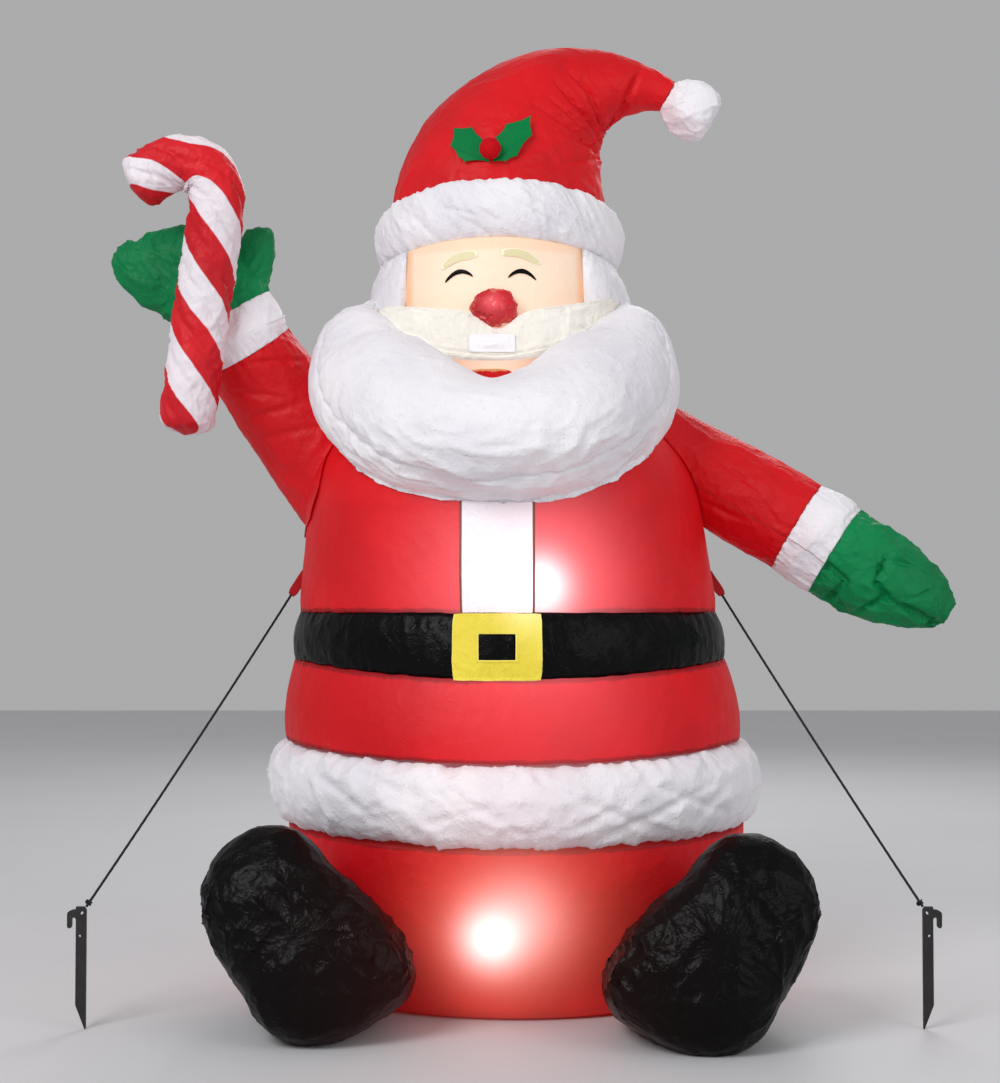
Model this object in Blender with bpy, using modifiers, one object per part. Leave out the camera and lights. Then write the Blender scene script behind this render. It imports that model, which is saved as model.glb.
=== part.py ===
"""Seated inflatable Santa in sewn nylon, held by two guy lines to ground stakes.

Metres, +Z up. The origin is on the floor, on the axis of the seat. The figure looks
along -Y, so its raised arm is at -X. Left and right in the names are the viewer's.
"""

import math

import bmesh
import bpy
import numpy as np
from mathutils import Matrix, Vector

# Clearance between pieces that touch, round a loose flap, and the thickness of sewn-on pieces
GAP = 0.0003
LOOSE_GAP = 0.001
PATCH = 0.0012
# How far a cutter reaches through the figure
CUT_REACH = 1.0

# Trunk: the heights of its pieces, bottom to top, and its radii
SEAT_HEIGHT = 0.206
HEM_WIDTH = 0.104
SKIRT_LENGTH = 0.102
BELT_WIDTH = 0.0586
CHEST_HEIGHT = 0.260
FLOOR_RADIUS = 0.263
SEAT_RADIUS = 0.2936
HEM_BULGE = 0.024
BELT_RADIUS = 0.270
CHEST_RADIUS = 0.252
NECK_RADIUS = 0.132
SHOULDER_SHARE = 0.46
SEAT_EDGE = 0.018
LEAN = -0.0382
BELT_DIP = 0.021
TRUNK_STEPS = 28
HEAD_STEPS = 24

# Head, hair and the band of the hat
HEAD_HEIGHT = 0.1937
HEAD_RADIUS = 0.155
HEAD_X = -0.0034
HAIR_RADIUS = 0.173
# Share of the head's height, and how far the hair's radius differs there
HAIR_PUFFS = ((1.0, -0.008), (0.88, 0), (0.55, 0.004), (0.2, 0.004), (0.02, -0.004), (-0.06, -0.018))
FACE_HALF_ANGLE = math.radians(43.5)
BAND_WIDTH = 0.074
BAND_RADIUS = 0.162
HAT_RADIUS = 0.142

# Hat above the band: x, height over the band, radius, lean of the ring in degrees
HAT_RINGS = (
    (-0.0014, 0.000, 0.142, 0),
    (0.0016, 0.045, 0.132, -3),
    (0.0156, 0.089, 0.1165, -9),
    (0.0409, 0.124, 0.0985, -19),
    (0.0728, 0.147, 0.0800, -34),
    (0.1136, 0.159, 0.0572, -58),
    (0.1535, 0.161, 0.0393, -72),
    (0.1880, 0.157, 0.0250, -88),
    (0.2140, 0.149, 0.0181, -112),
)
# Pompom along its own axis: distance from the tip of the hat, radius
POMPOM_RINGS = (
    (0, 0.0185),
    (0.014, 0.030),
    (0.031, 0.0385),
    (0.050, 0.0385),
    (0.063, 0.031),
    (0.067, 0.014),
)
POMPOM_SLOPE = -34

# Beard: half spread, forward, height over the neck, half height, half depth
BEARD_X = -0.0078
BEARD_ROWS = (
    (0.1495, 0.055, 0.1378, 0.0076, 0.010),
    (0.1602, 0.065, 0.1184, 0.0203, 0.022),
    (0.1672, 0.090, 0.0806, 0.0551, 0.055),
    (0.1510, 0.125, 0.0250, 0.0815, 0.078),
    (0.1137, 0.175, -0.0149, 0.0869, 0.088),
    (0.0689, 0.215, -0.0428, 0.0824, 0.092),
    (0.0000, 0.240, -0.0569, 0.0733, 0.092),
)

# Face: places are across from the middle of the face, and up as a share of the head's height
NOSE_RADIUS = 0.0265
NOSE_PLACE = (-0.0082, 0.568)
NOSE_FORWARD = 0.013
BROW_SIZE = (0.043, 0.0115)
BROW_RISE = 0.010
BROW_SLOPE = 0.12
BROW_PLACE = (0.0370, 0.8854)
EYE_SIZE = (0.033, 0.0044)
EYE_RISE = 0.0100
EYE_SLOPE = 0.10
EYE_PLACE = (0.0384, 0.7847)
EYES_X = -0.0124
MOUTH_SIZE = (0.056, 0.019)
MOUTH_PLACE = (-0.0129, 0.1497)
MOUSTACHE_X = -0.0038
MOUSTACHE_HALF = 0.150
MOUSTACHE_FORWARD = 0.176
MOUSTACHE_SIDE_FORWARD = 0.098
MOUSTACHE_THICKNESS = 0.0016
MOUSTACHE_SPANS = 7
# Heights of the strip's edges, middle and ends, and depth and spread of the notch under the nose
MOUSTACHE_TOP = (0.5472, 0.7021)
MOUSTACHE_BOTTOM = (0.2323, 0.5318)
MOUSTACHE_NOTCH = (0.1136, 0.16)
# White patch sewn on the strip under the nose
TAPE_SIZE = (0.056, 0.022)
TAPE_PLACE = (-0.0104, 0.3098)
TAPE_THICKNESS = 0.0006

# Placket and buckle on the front of the coat
FRONT_X = -0.0039
PLACKET_WIDTH = 0.087
PLACKET_LENGTH = 0.165
BUCKLE_SIZE = (0.1025, 0.0775)
BUCKLE_WINDOW = (0.042, 0.030)
BUCKLE_THICKNESS = 0.0025

# Holly on the hat: leaf length and half width, and the middle of the sprig
LEAF_LENGTH = 0.060
LEAF_HALF_WIDTH = 0.021
LEAF_SPIKES = 3
LEAF_SPIKE_DEPTH = 0.30
LEAF_THICKNESS = 0.002
LEAF_SLOPES = (41, 48)
SPRIG_X = -0.0129
SPRIG_HEIGHT = 0.0285
BERRY_RADIUS = 0.0132
BERRY_HEIGHT = 0.0440

# Arms: x, y, height over the neck, half width, half depth
LOWERED_SLEEVE = (
    (0.1746, 0.000, -0.0300, 0.060, 0.064),
    (0.2511, 0.000, -0.0733, 0.060, 0.062),
    (0.3196, -0.016, -0.1125, 0.062, 0.062),
)
LOWERED_CUFF = ((0.3816, -0.030, -0.1500, 0.063, 0.063), (0.4066, -0.035, -0.1665, 0.066, 0.066))
LOWERED_MITTEN = (
    (0.4276, -0.040, -0.1825, 0.0630, 0.058),
    (0.4735, -0.050, -0.2095, 0.0600, 0.050),
    (0.5156, -0.058, -0.2312, 0.0510, 0.040),
    (0.5496, -0.066, -0.2510, 0.0330, 0.028),
    (0.5676, -0.070, -0.2620, 0.0150, 0.013),
)
RAISED_SLEEVE = (
    (-0.1804, 0.000, -0.1150, 0.078, 0.078),
    (-0.2284, 0.000, -0.0550, 0.075, 0.075),
    (-0.2924, -0.015, 0.0260, 0.065, 0.065),
)
RAISED_CUFF = ((-0.3253, -0.032, 0.0755, 0.0605, 0.0605), (-0.3364, -0.038, 0.1000, 0.062, 0.062))
RAISED_MITTEN = (
    (-0.3445, -0.043, 0.1247, 0.0575, 0.050),
    (-0.3684, -0.046, 0.1540, 0.0610, 0.042),
    (-0.4074, -0.048, 0.1745, 0.0630, 0.036),
    (-0.4464, -0.048, 0.1790, 0.0480, 0.030),
    (-0.4744, -0.048, 0.1850, 0.0260, 0.020),
    (-0.4864, -0.048, 0.1970, 0.0110, 0.010),
)
RAISED_THUMB = (
    (-0.3354, -0.044, 0.1430, 0.034, 0.030),
    (-0.3234, -0.045, 0.1800, 0.029, 0.026),
    (-0.3144, -0.046, 0.2060, 0.025, 0.022),
    (-0.3089, -0.046, 0.2260, 0.018, 0.015),
    (-0.3084, -0.046, 0.2330, 0.009, 0.007),
)
ARM_SIDES = 14

# Candy cane in front of the raised mitten: x, height over the neck; it stands straight in depth
CANE_RADIUS = 0.0347
CANE_Y = -0.120
CANE_ROWS = (
    (-0.3890, -0.0200),
    (-0.3769, 0.0713),
    (-0.3682, 0.1394),
    (-0.3569, 0.2150),
    (-0.3540, 0.2560),
    (-0.3640, 0.2870),
    (-0.3880, 0.3000),
    (-0.4180, 0.2950),
    (-0.4450, 0.2790),
)
# Rounded ends of the cane: distance past the path, share of the radius
CANE_ENDS = ((0.007, 0.94), (0.014, 0.78), (0.019, 0.48))

# Boots: radius of the outline every 30 degrees from the toe towards the body, and the depths
BOOT_OUTLINE = (0.140, 0.1315, 0.092, 0.088, 0.104, 0.1335, 0.1206, 0.117, 0.107, 0.090, 0.097, 0.124)
BOOT_FRONT = 0.070
BOOT_BACK = 0.190
BOOT_TIP_BACK = 16
BOOT_PUFF = 2.6
BOOTS = {
    "left_boot": {"centre": (-0.2435, -0.345, 0.109), "turn": -41.0, "side": 1},
    "right_boot": {"centre": (0.2185, -0.375, 0.104), "turn": 39.0, "side": -1},
}
BOOT_RINGS = 6
BOOT_SIDES = 20
BEARD_SIDES = 16
HAT_SIDES = 16
THUMB_SIDES = 8

# Guy lines: webbing tab on the coat, cord to the eye of the stake, stake on its tip
TAB_SIZE = (0.012, 0.040, 0.0018)
TAB_HEIGHT = 0.050
LINE_DIAMETER = 0.003
LINE_POINTS = 12
LINE_SAG = 0.003
STAKE_LENGTH = 0.1375
STAKE_WIDTH = 0.0116
STAKE_THICKNESS = 0.005
STAKE_TIP_LENGTH = 0.027
STAKE_Y = -0.295
STAKE_X = {"left": -0.4959, "right": 0.4646}
HOOK_REACH = 0.0100
HOOK_SLOT = 0.0047
HOOK_DROP = 0.0244
SLOT_DROP = 0.0121
HOOK_SHOULDER = (0.003, 0.008)
CORNER_CUT = (0.0026, 0.0035)
# Holes of the stake: across from the middle of the blade, down from its top
SLOT_EYE_HALF = (0.0026, 0.0014)
SLOT_EYE_SLOPE = 45
SLOT_EYE_PLACE = (-0.0008, 0.0072)
PIN_RADIUS = 0.0017
PIN_PLACE = (0.0014, 0.033)
STAKE_EDGE = 0.0006

COLOURS = {
    "red": (0.66, 0.008, 0.016),
    "striped": (0.66, 0.008, 0.016),
    "white": (0.80, 0.78, 0.82),
    "green": (0.0, 0.22, 0.08),
    "black": (0.005, 0.005, 0.006),
    "yellow": (0.82, 0.70, 0.08),
    "skin": (0.93, 0.70, 0.50),
    "cream": (0.74, 0.66, 0.38),
}

for old in list(bpy.data.objects):
    bpy.data.objects.remove(old, do_unlink=True)


def new_collection(name):
    """A collection linked to the scene."""
    collection = bpy.data.collections.new(name)
    bpy.context.scene.collection.children.link(collection)
    return collection


PIECES = new_collection("inflatable_santa")
CUTTERS = new_collection("cutters")


def finish_material(name, roughness=0.5):
    """A plain coloured finish."""
    material = bpy.data.materials.new(name)
    material.use_nodes = True
    shader = material.node_tree.nodes["Principled BSDF"]
    shader.inputs["Base Color"].default_value = (*COLOURS[name.split("_")[0]], 1.0)
    shader.inputs["Roughness"].default_value = roughness
    shader.inputs["Metallic"].default_value = 0.0
    return material


def add_piece(name, mesh, material, collection=PIECES):
    """Put a mesh into the scene as a named object."""
    piece = bpy.data.objects.new(name, mesh)
    collection.objects.link(piece)
    mesh.materials.clear()
    mesh.materials.append(material)
    return piece


def as_mesh(source):
    """A mesh copy of an object with its modifiers and place applied."""
    bpy.context.view_layer.update()
    evaluated = source.evaluated_get(bpy.context.evaluated_depsgraph_get())
    mesh = bpy.data.meshes.new_from_object(evaluated)
    mesh.transform(source.matrix_world)
    return mesh


def from_curve(name, curve, material):
    """Turn a curve into a closed mesh piece and drop the curve."""
    holder = bpy.data.objects.new(name + "_curve", curve)
    PIECES.objects.link(holder)
    mesh = as_mesh(holder)
    bpy.data.objects.remove(holder, do_unlink=True)
    bm = bmesh.new()
    bm.from_mesh(mesh)
    bmesh.ops.remove_doubles(bm, verts=bm.verts, dist=1e-6)
    bmesh.ops.recalc_face_normals(bm, faces=bm.faces)
    bm.to_mesh(mesh)
    bm.free()
    return add_piece(name, mesh, material)


def smooth_rows(rows, per_span=3):
    """Rows of numbers filled in by a smooth curve that passes through each of them."""
    rows = [np.array(row, float) for row in rows]
    ends = [2 * rows[0] - rows[1], *rows, 2 * rows[-1] - rows[-2]]
    filled = []
    for before, start, stop, after in zip(ends, ends[1:], ends[2:], ends[3:]):
        for t in np.arange(per_span) / per_span:
            filled.append(
                0.5 * (2 * start + (stop - before) * t)
                + 0.5 * (2 * before - 5 * start + 4 * stop - after) * t**2
                + 0.5 * (3 * start - before - 3 * stop + after) * t**3
            )
    return np.array([*filled, rows[-1]])


def ring(centre, across, through, half_width, half_depth, sides, back_power=2.0):
    """A closed ring; its back half may be squarer than an ellipse."""
    points = []
    for k in range(sides):
        angle = 2 * math.pi * k / sides
        c, s = math.cos(angle), math.sin(angle)
        power = 2.0 / back_power if s > 0 else 1.0
        wide = math.copysign(abs(c) ** power, c)
        deep = math.copysign(abs(s) ** power, s)
        points.append(centre + across * (half_width * wide) + through * (half_depth * deep))
    return points


def path_rings(rows, sides, back_power=2.0):
    """Rings square to a path of rows x, y, z, half width, half depth."""
    places = rows[:, :3]
    along = np.gradient(places, axis=0)
    rings = []
    for place, step, size in zip(places, along, rows[:, 3:5]):
        tangent = Vector(step).normalized()
        through = Vector((0, 1, 0)) - tangent * tangent.y
        through.normalize()
        across = through.cross(tangent)
        rings.append(ring(Vector(place), across, through, size[0], size[1], sides, back_power))
    return rings


def skin(name, rings, material):
    """Loft closed rings into one body, closed at both ends by a fan."""
    bm = bmesh.new()
    loops = [[bm.verts.new(point) for point in points] for points in rings]
    for low, high in zip(loops, loops[1:]):
        for k in range(len(low)):
            bm.faces.new((low[k - 1], low[k], high[k], high[k - 1]))
    for loop in (loops[0], loops[-1]):
        middle = bm.verts.new(sum((v.co for v in loop), Vector()) / len(loop))
        for k in range(len(loop)):
            bm.faces.new((loop[k - 1], loop[k], middle))
    bmesh.ops.recalc_face_normals(bm, faces=bm.faces)
    mesh = bpy.data.meshes.new(name)
    bm.to_mesh(mesh)
    bm.free()
    mesh.shade_smooth()
    return add_piece(name, mesh, material)


def turned(name, profile, material, steps=TRUNK_STEPS):
    """Turn a profile of radius, height rows, given from top to bottom, about the Z axis."""
    mesh = bpy.data.meshes.new(name)
    points = [(radius, 0.0, height) for radius, height in profile]
    mesh.from_pydata(points, [(k, k + 1) for k in range(len(points) - 1)], [])
    holder = add_piece(name + "_profile", mesh, material)
    screw = holder.modifiers.new("turn", "SCREW")
    screw.steps = steps
    screw.render_steps = steps
    screw.use_merge_vertices = True
    screw.merge_threshold = 0.00001
    turned_mesh = as_mesh(holder)
    bpy.data.objects.remove(holder, do_unlink=True)
    turned_mesh.name = name
    return add_piece(name, turned_mesh, material)


def grown(source, distance):
    """A cutter: the piece's mesh pushed out along its normals."""
    bm = bmesh.new()
    bm.from_mesh(as_mesh(source))
    bmesh.ops.remove_doubles(bm, verts=bm.verts, dist=1e-6)
    bm.normal_update()
    moves = [vert.normal * (distance * min(vert.calc_shell_factor(), 1.6)) for vert in bm.verts]
    for vert, move in zip(bm.verts, moves):
        vert.co += move
    mesh = bpy.data.meshes.new(source.name + "_cutter")
    bm.to_mesh(mesh)
    bm.free()
    cutter = bpy.data.objects.new(mesh.name, mesh)
    CUTTERS.objects.link(cutter)
    cutter.hide_render = True
    cutter.display_type = "WIRE"
    return cutter


def drop_crumbs(bm):
    """Keep the main body, without crumbs that a cut leaves in the joint of two neighbours."""
    left, bodies = set(bm.faces), []
    while left:
        body, rim = set(), {left.pop()}
        while rim:
            body |= rim
            inner = {edge for face in rim for edge in face.edges if len(edge.link_faces) == 2}
            rim = {face for edge in inner for face in edge.link_faces} - body
        left -= body
        bodies.append(body)
    bodies.sort(key=len)
    crumbs = [face for body in bodies[:-1] for face in body]
    bmesh.ops.delete(bm, geom=crumbs, context="FACES")


def combine(piece, other, operation, folded=False):
    """Apply one Boolean to a piece, keeping it a plain closed mesh; folded allows creased skins."""
    modifier = piece.modifiers.new(operation.lower(), "BOOLEAN")
    modifier.operation = operation
    modifier.object = other
    modifier.use_self = folded
    mesh = as_mesh(piece)
    piece.modifiers.remove(modifier)
    bm = bmesh.new()
    bm.from_mesh(mesh)
    bmesh.ops.remove_doubles(bm, verts=bm.verts, dist=2e-6)
    bmesh.ops.dissolve_degenerate(bm, edges=bm.edges, dist=2e-6)
    drop_crumbs(bm)
    bm.to_mesh(mesh)
    bm.free()
    material = piece.data.materials[0]
    piece.data = mesh
    mesh.name = piece.name
    mesh.materials.clear()
    mesh.materials.append(material)
    return piece


def clear_of(piece, *neighbours, clearance=GAP, folded=False):
    """Cut a piece back so that it touches its neighbours with the usual clearance."""
    for neighbour in neighbours:
        combine(piece, grown(neighbour, clearance), "DIFFERENCE", folded)
    return piece


def plate(name, outlines, thickness, place, material):
    """A flat outline with holes, extruded to a thickness about its plane, then placed."""
    curve = bpy.data.curves.new(name, "CURVE")
    curve.dimensions = "2D"
    curve.fill_mode = "BOTH"
    curve.extrude = thickness / 2
    for outline in outlines:
        spline = curve.splines.new("POLY")
        spline.points.add(len(outline) - 1)
        for point, (x, y) in zip(spline.points, outline):
            point.co = (x, y, 0, 1)
        spline.use_cyclic_u = True
    piece = from_curve(name, curve, material)
    piece.data.transform(place)
    return piece


def upright(y):
    """Turns a flat outline to face along Y, with its plane at this Y."""
    return Matrix.Translation((0, y, 0)) @ Matrix.Rotation(math.pi / 2, 4, "X")


def sewn_on(name, outlines, carrier, material, thickness=PATCH, beside=()):
    """A thin piece that follows the front of its carrier inside a flat outline."""
    piece = plate(name, outlines, CUT_REACH, upright(-CUT_REACH / 2), material)
    combine(piece, grown(carrier, GAP + thickness), "INTERSECT")
    return clear_of(piece, carrier, *beside)


def rectangle(x, z, width, height):
    """Corners of an upright rectangle about its middle."""
    w, h = width / 2, height / 2
    return [(x - w, z - h), (x + w, z - h), (x + w, z + h), (x - w, z + h)]


def crescent(x, z, width, thickness, rise, slope=0.0, points=7):
    """A bow that is thickest in the middle, with its ends down."""
    upper, lower = [], []
    for t in np.linspace(-1, 1, points):
        arch = rise * (1 - t * t)
        half = thickness / 2 * math.sqrt(max(1 - t * t, 0.06))
        px = x + t * width / 2
        pz = z + arch - rise / 2 + slope * t * width / 2
        upper.append((px, pz + half))
        lower.append((px, pz - half))
    return upper + lower[::-1]


def disc(x, z, radius_x, radius_z, sides=12):
    """An oval outline."""
    turn = 2 * math.pi / sides
    return [(x + radius_x * math.cos(k * turn), z + radius_z * math.sin(k * turn)) for k in range(sides)]


RED = finish_material("red_nylon")
STRIPED = finish_material("striped_nylon")
WHITE = finish_material("white_nylon")
GREEN = finish_material("green_nylon")
BLACK = finish_material("black_nylon", 0.4)
YELLOW = finish_material("yellow_nylon")
SKIN = finish_material("skin_nylon")
CREAM = finish_material("cream_nylon")
WEBBING = finish_material("red_webbing", 0.7)
CORD = finish_material("black_cord", 0.8)
PLASTIC = finish_material("black_plastic", 0.45)

hem_z = SEAT_HEIGHT
skirt_z = hem_z + HEM_WIDTH
belt_z = skirt_z + SKIRT_LENGTH
chest_z = belt_z + BELT_WIDTH
neck_z = chest_z + CHEST_HEIGHT
band_z = neck_z + HEAD_HEIGHT
hat_z = band_z + BAND_WIDTH


def dip(height):
    """How far a seam at this height hangs down at the front and back."""
    return float(np.interp(height, (0, hem_z, skirt_z, belt_z, chest_z), (0, 0.3, 0.6, 1, 0))) * BELT_DIP


def drift(height):
    """How far the trunk's axis has leaned sideways at this height."""
    return LEAN * max(height - hem_z, 0)


def settle(piece):
    """Lean a turned piece of the trunk sideways and let its seams dip at front and back."""
    for vert in piece.data.vertices:
        forward = vert.co.y / SEAT_RADIUS
        vert.co.x += drift(vert.co.z)
        vert.co.z -= dip(vert.co.z) * forward**2
    return piece


neck_x = drift(neck_z)


def trunk_radius(height):
    """The trunk's radius between the floor and the start of the shoulders."""
    return float(
        np.interp(
            height,
            (0, hem_z, skirt_z, chest_z, chest_z + CHEST_HEIGHT * SHOULDER_SHARE),
            (FLOOR_RADIUS, SEAT_RADIUS, SEAT_RADIUS, BELT_RADIUS, CHEST_RADIUS),
        )
    )


def stack_piece(name, low, high, material, bulge=0.0, rings=2):
    """A slice of the trunk with flat seams, puffed out by a bulge."""
    top, bottom = high - GAP / 2, low + GAP / 2
    profile = [(0, top)]
    for t in np.linspace(0, 1, rings):
        height = top + (bottom - top) * t
        puff = bulge * math.sin(math.pi * t) ** 0.6
        profile.append((trunk_radius(height) + puff, height))
    profile.append((0, bottom))
    return settle(turned(name, profile, material))


def make_seat():
    """The seat: wide under the trim, tucked in and rounded at the floor."""
    profile = [(0, hem_z - GAP / 2), (SEAT_RADIUS, hem_z - GAP / 2)]
    for height in (0.14, 0.07):
        profile.append((trunk_radius(height) + 0.004, height))
    for angle in (15, 50, 90):
        inset = SEAT_EDGE * (1 - math.cos(math.radians(angle)))
        drop = SEAT_EDGE * (1 - math.sin(math.radians(angle)))
        profile.append((FLOOR_RADIUS - inset, drop))
    profile.append((0, 0))
    return settle(turned("seat", profile, RED))


def make_chest():
    """The chest: a tapering wall, then round shoulders up to the neck."""
    shoulder = chest_z + CHEST_HEIGHT * SHOULDER_SHARE
    rise, reach = neck_z - GAP - shoulder, CHEST_RADIUS - NECK_RADIUS
    profile = [(0, neck_z - GAP)]
    for angle in np.linspace(90, 0, 6):
        turn = math.radians(angle)
        profile.append((NECK_RADIUS + reach * math.cos(turn), shoulder + rise * math.sin(turn)))
    profile.append((trunk_radius((shoulder + chest_z) / 2) + 0.002, (shoulder + chest_z) / 2))
    profile.append((BELT_RADIUS, chest_z + GAP / 2))
    profile.append((0, chest_z + GAP / 2))
    return settle(turned("coat_chest", profile, RED))


def face_height(share):
    """The height at a share of the way up the face."""
    return neck_z + HEAD_HEIGHT * share


def make_head():
    """The head: a short drum that swells a little, from the neck to the band."""
    profile = [(0, band_z - GAP)]
    for share, radius in ((1.0, 0.975), (0.75, 1.0), (0.45, 1.0), (0.2, 0.96), (0.0, 0.87)):
        height = neck_z + GAP / 2 + (HEAD_HEIGHT - 3 * GAP / 2) * share
        profile.append((HEAD_RADIUS * radius, height))
    profile.append((0, neck_z + GAP / 2))
    head = turned("face", profile, SKIN, HEAD_STEPS)
    head.data.transform(Matrix.Translation((neck_x + HEAD_X, 0, 0)))
    return head


def make_hair(head, chest):
    """Hair: a puffed wrap round the sides and back of the head, open at the face."""
    profile = [(0, band_z - GAP)]
    for share, puff in HAIR_PUFFS:
        profile.append((HAIR_RADIUS + puff, neck_z + HEAD_HEIGHT * share - GAP))
    profile.append((0, profile[-1][1]))
    hair = turned("hair", profile, WHITE, HEAD_STEPS)
    hair.data.transform(Matrix.Translation((neck_x + HEAD_X, 0, 0)))
    reach = 2 * HAIR_RADIUS
    spread = reach * math.tan(FACE_HALF_ANGLE)
    axis = neck_x + HEAD_X
    wedge = [(axis, 0), (axis - spread, -reach), (axis + spread, -reach)]
    opening = plate("face_opening", [wedge], CUT_REACH, Matrix.Translation((0, 0, neck_z)), WHITE)
    combine(hair, opening, "DIFFERENCE")
    bpy.data.objects.remove(opening, do_unlink=True)
    return clear_of(hair, head, chest)


def make_band():
    """The band of the hat: a puffed ring with flat top and bottom."""
    profile = [(0, hat_z)]
    steepest = math.radians(68)
    for turn in np.linspace(steepest, -steepest, 6):
        bulge = (BAND_RADIUS - HAT_RADIUS) * math.cos(turn)
        share = (1 + math.sin(turn) / math.sin(steepest)) / 2
        profile.append((HAT_RADIUS + bulge, band_z + BAND_WIDTH * share))
    profile.append((0, band_z))
    band = turned("hat_band", profile, WHITE, HEAD_STEPS)
    band.data.transform(Matrix.Translation((neck_x + HAT_RINGS[0][0], 0, 0)))
    return band


def make_hat():
    """The hat: round rings that lean over sideways to a drooping tip."""
    rings = []
    for x, height, radius, lean in smooth_rows(HAT_RINGS, 2):
        turn = math.radians(lean)
        across = Vector((math.cos(turn), 0, math.sin(turn)))
        centre = Vector((neck_x + x, 0, hat_z + GAP + height))
        rings.append(ring(centre, across, Vector((0, 1, 0)), radius, radius, HAT_SIDES))
    return skin("hat", rings, RED)


def make_pompom(hat):
    """The pompom: a puffed drum on the tip of the hat."""
    x, height, _, lean = HAT_RINGS[-1]
    slope = math.radians(POMPOM_SLOPE)
    along = Vector((math.cos(slope), 0, math.sin(slope)))
    across = Vector((-along.z, 0, along.x))
    tip = Vector((neck_x + x, 0, hat_z + height)) + along * (3 * GAP)
    places = [(tip + along * step, radius) for step, radius in POMPOM_RINGS]
    rings = [ring(place, across, Vector((0, 1, 0)), radius, radius, ARM_SIDES) for place, radius in places]
    return clear_of(skin("pompom", rings, WHITE), hat)


def make_beard(chest, head, hair):
    """The beard: one fat crescent pillow, flat at its back, hung from the face over the chest."""
    middle = neck_x + BEARD_X
    rows = [(middle - side, -fwd, neck_z + up, wide, deep) for side, fwd, up, wide, deep in BEARD_ROWS]
    rows += [(2 * middle - row[0], *row[1:]) for row in rows[-2::-1]]
    beard = skin("beard", path_rings(smooth_rows(rows, 2), BEARD_SIDES, back_power=3.2), WHITE)
    return clear_of(beard, chest, head, hair, folded=True)


def limb(rows_by_piece, materials):
    """One smooth limb cut into pieces that meet face to face, as name to object."""
    rows = [row for section in rows_by_piece.values() for row in section]
    rows = [(neck_x + x, y, neck_z + up, wide, deep) for x, y, up, wide, deep in rows]
    fine = smooth_rows(rows, 2)
    rings = path_rings(fine, ARM_SIDES)
    pieces, first = {}, 0
    for name, section in rows_by_piece.items():
        last = min(first + 2 * len(section), len(rings) - 1)
        loops = [list(points) for points in rings[first : last + 1]]
        if first:
            step = Vector(fine[first + 1][:3] - fine[first - 1][:3]).normalized() * GAP
            loops[0] = [point + step for point in loops[0]]
        pieces[name] = skin(name, loops, materials[name])
        first = last
    return pieces


def make_arms(chest, others):
    """Both arms: sleeve, cuff and mitten; the raised mitten has its thumb up."""
    lowered = {
        "lowered_sleeve": LOWERED_SLEEVE,
        "lowered_cuff": LOWERED_CUFF,
        "lowered_mitten": LOWERED_MITTEN,
    }
    raised = {"raised_sleeve": RAISED_SLEEVE, "raised_cuff": RAISED_CUFF, "raised_mitten": RAISED_MITTEN}
    colours = dict(zip(("sleeve", "cuff", "mitten"), (RED, WHITE, GREEN)))
    pieces = {}
    for rows in (lowered, raised):
        pieces.update(limb(rows, {name: colours[name.split("_")[1]] for name in rows}))
    rows = [(neck_x + x, y, neck_z + up, wide, deep) for x, y, up, wide, deep in RAISED_THUMB]
    thumb = skin("thumb", path_rings(smooth_rows(rows, 2), THUMB_SIDES), GREEN)
    mitten = combine(pieces["raised_mitten"], thumb, "UNION")
    bpy.data.objects.remove(thumb, do_unlink=True)
    clear_of(mitten, pieces["raised_cuff"])
    for name in ("lowered_sleeve", "raised_sleeve"):
        clear_of(pieces[name], chest, *others)
    return pieces


def make_cane():
    """The candy cane: a puffed tube with a tight hook and round ends."""
    fine = smooth_rows(CANE_ROWS, 2)
    curve = bpy.data.curves.new("candy_cane", "CURVE")
    curve.dimensions = "3D"
    curve.bevel_depth = CANE_RADIUS
    curve.bevel_resolution = 3
    curve.use_fill_caps = True
    spline = curve.splines.new("POLY")
    foot, tip = fine[0] - fine[1], fine[-1] - fine[-2]
    before = [(fine[0] + foot / np.linalg.norm(foot) * reach, share) for reach, share in CANE_ENDS]
    after = [(fine[-1] + tip / np.linalg.norm(tip) * reach, share) for reach, share in CANE_ENDS]
    path = before[::-1] + [(place, 1.0) for place in fine] + after
    spline.points.add(len(path) - 1)
    for point, ((x, up), share) in zip(spline.points, path):
        point.co = (neck_x + x, CANE_Y, neck_z + up, 1)
        point.radius = share
    return from_curve("candy_cane", curve, STRIPED)


def boot_radius(angle):
    """The outline's radius at an angle from the toe, from its values every 30 degrees."""
    count = len(BOOT_OUTLINE)
    place = angle / (2 * math.pi) * count
    k, t = int(place) % count, place - int(place)
    p = [BOOT_OUTLINE[(k + step) % count] for step in (-1, 0, 1, 2)]
    bend = (2 * p[0] - 5 * p[1] + 4 * p[2] - p[3]) * t**2 + (3 * p[1] - p[0] - 3 * p[2] + p[3]) * t**3
    return 0.5 * (2 * p[1] + (p[2] - p[0]) * t + bend)


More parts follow.
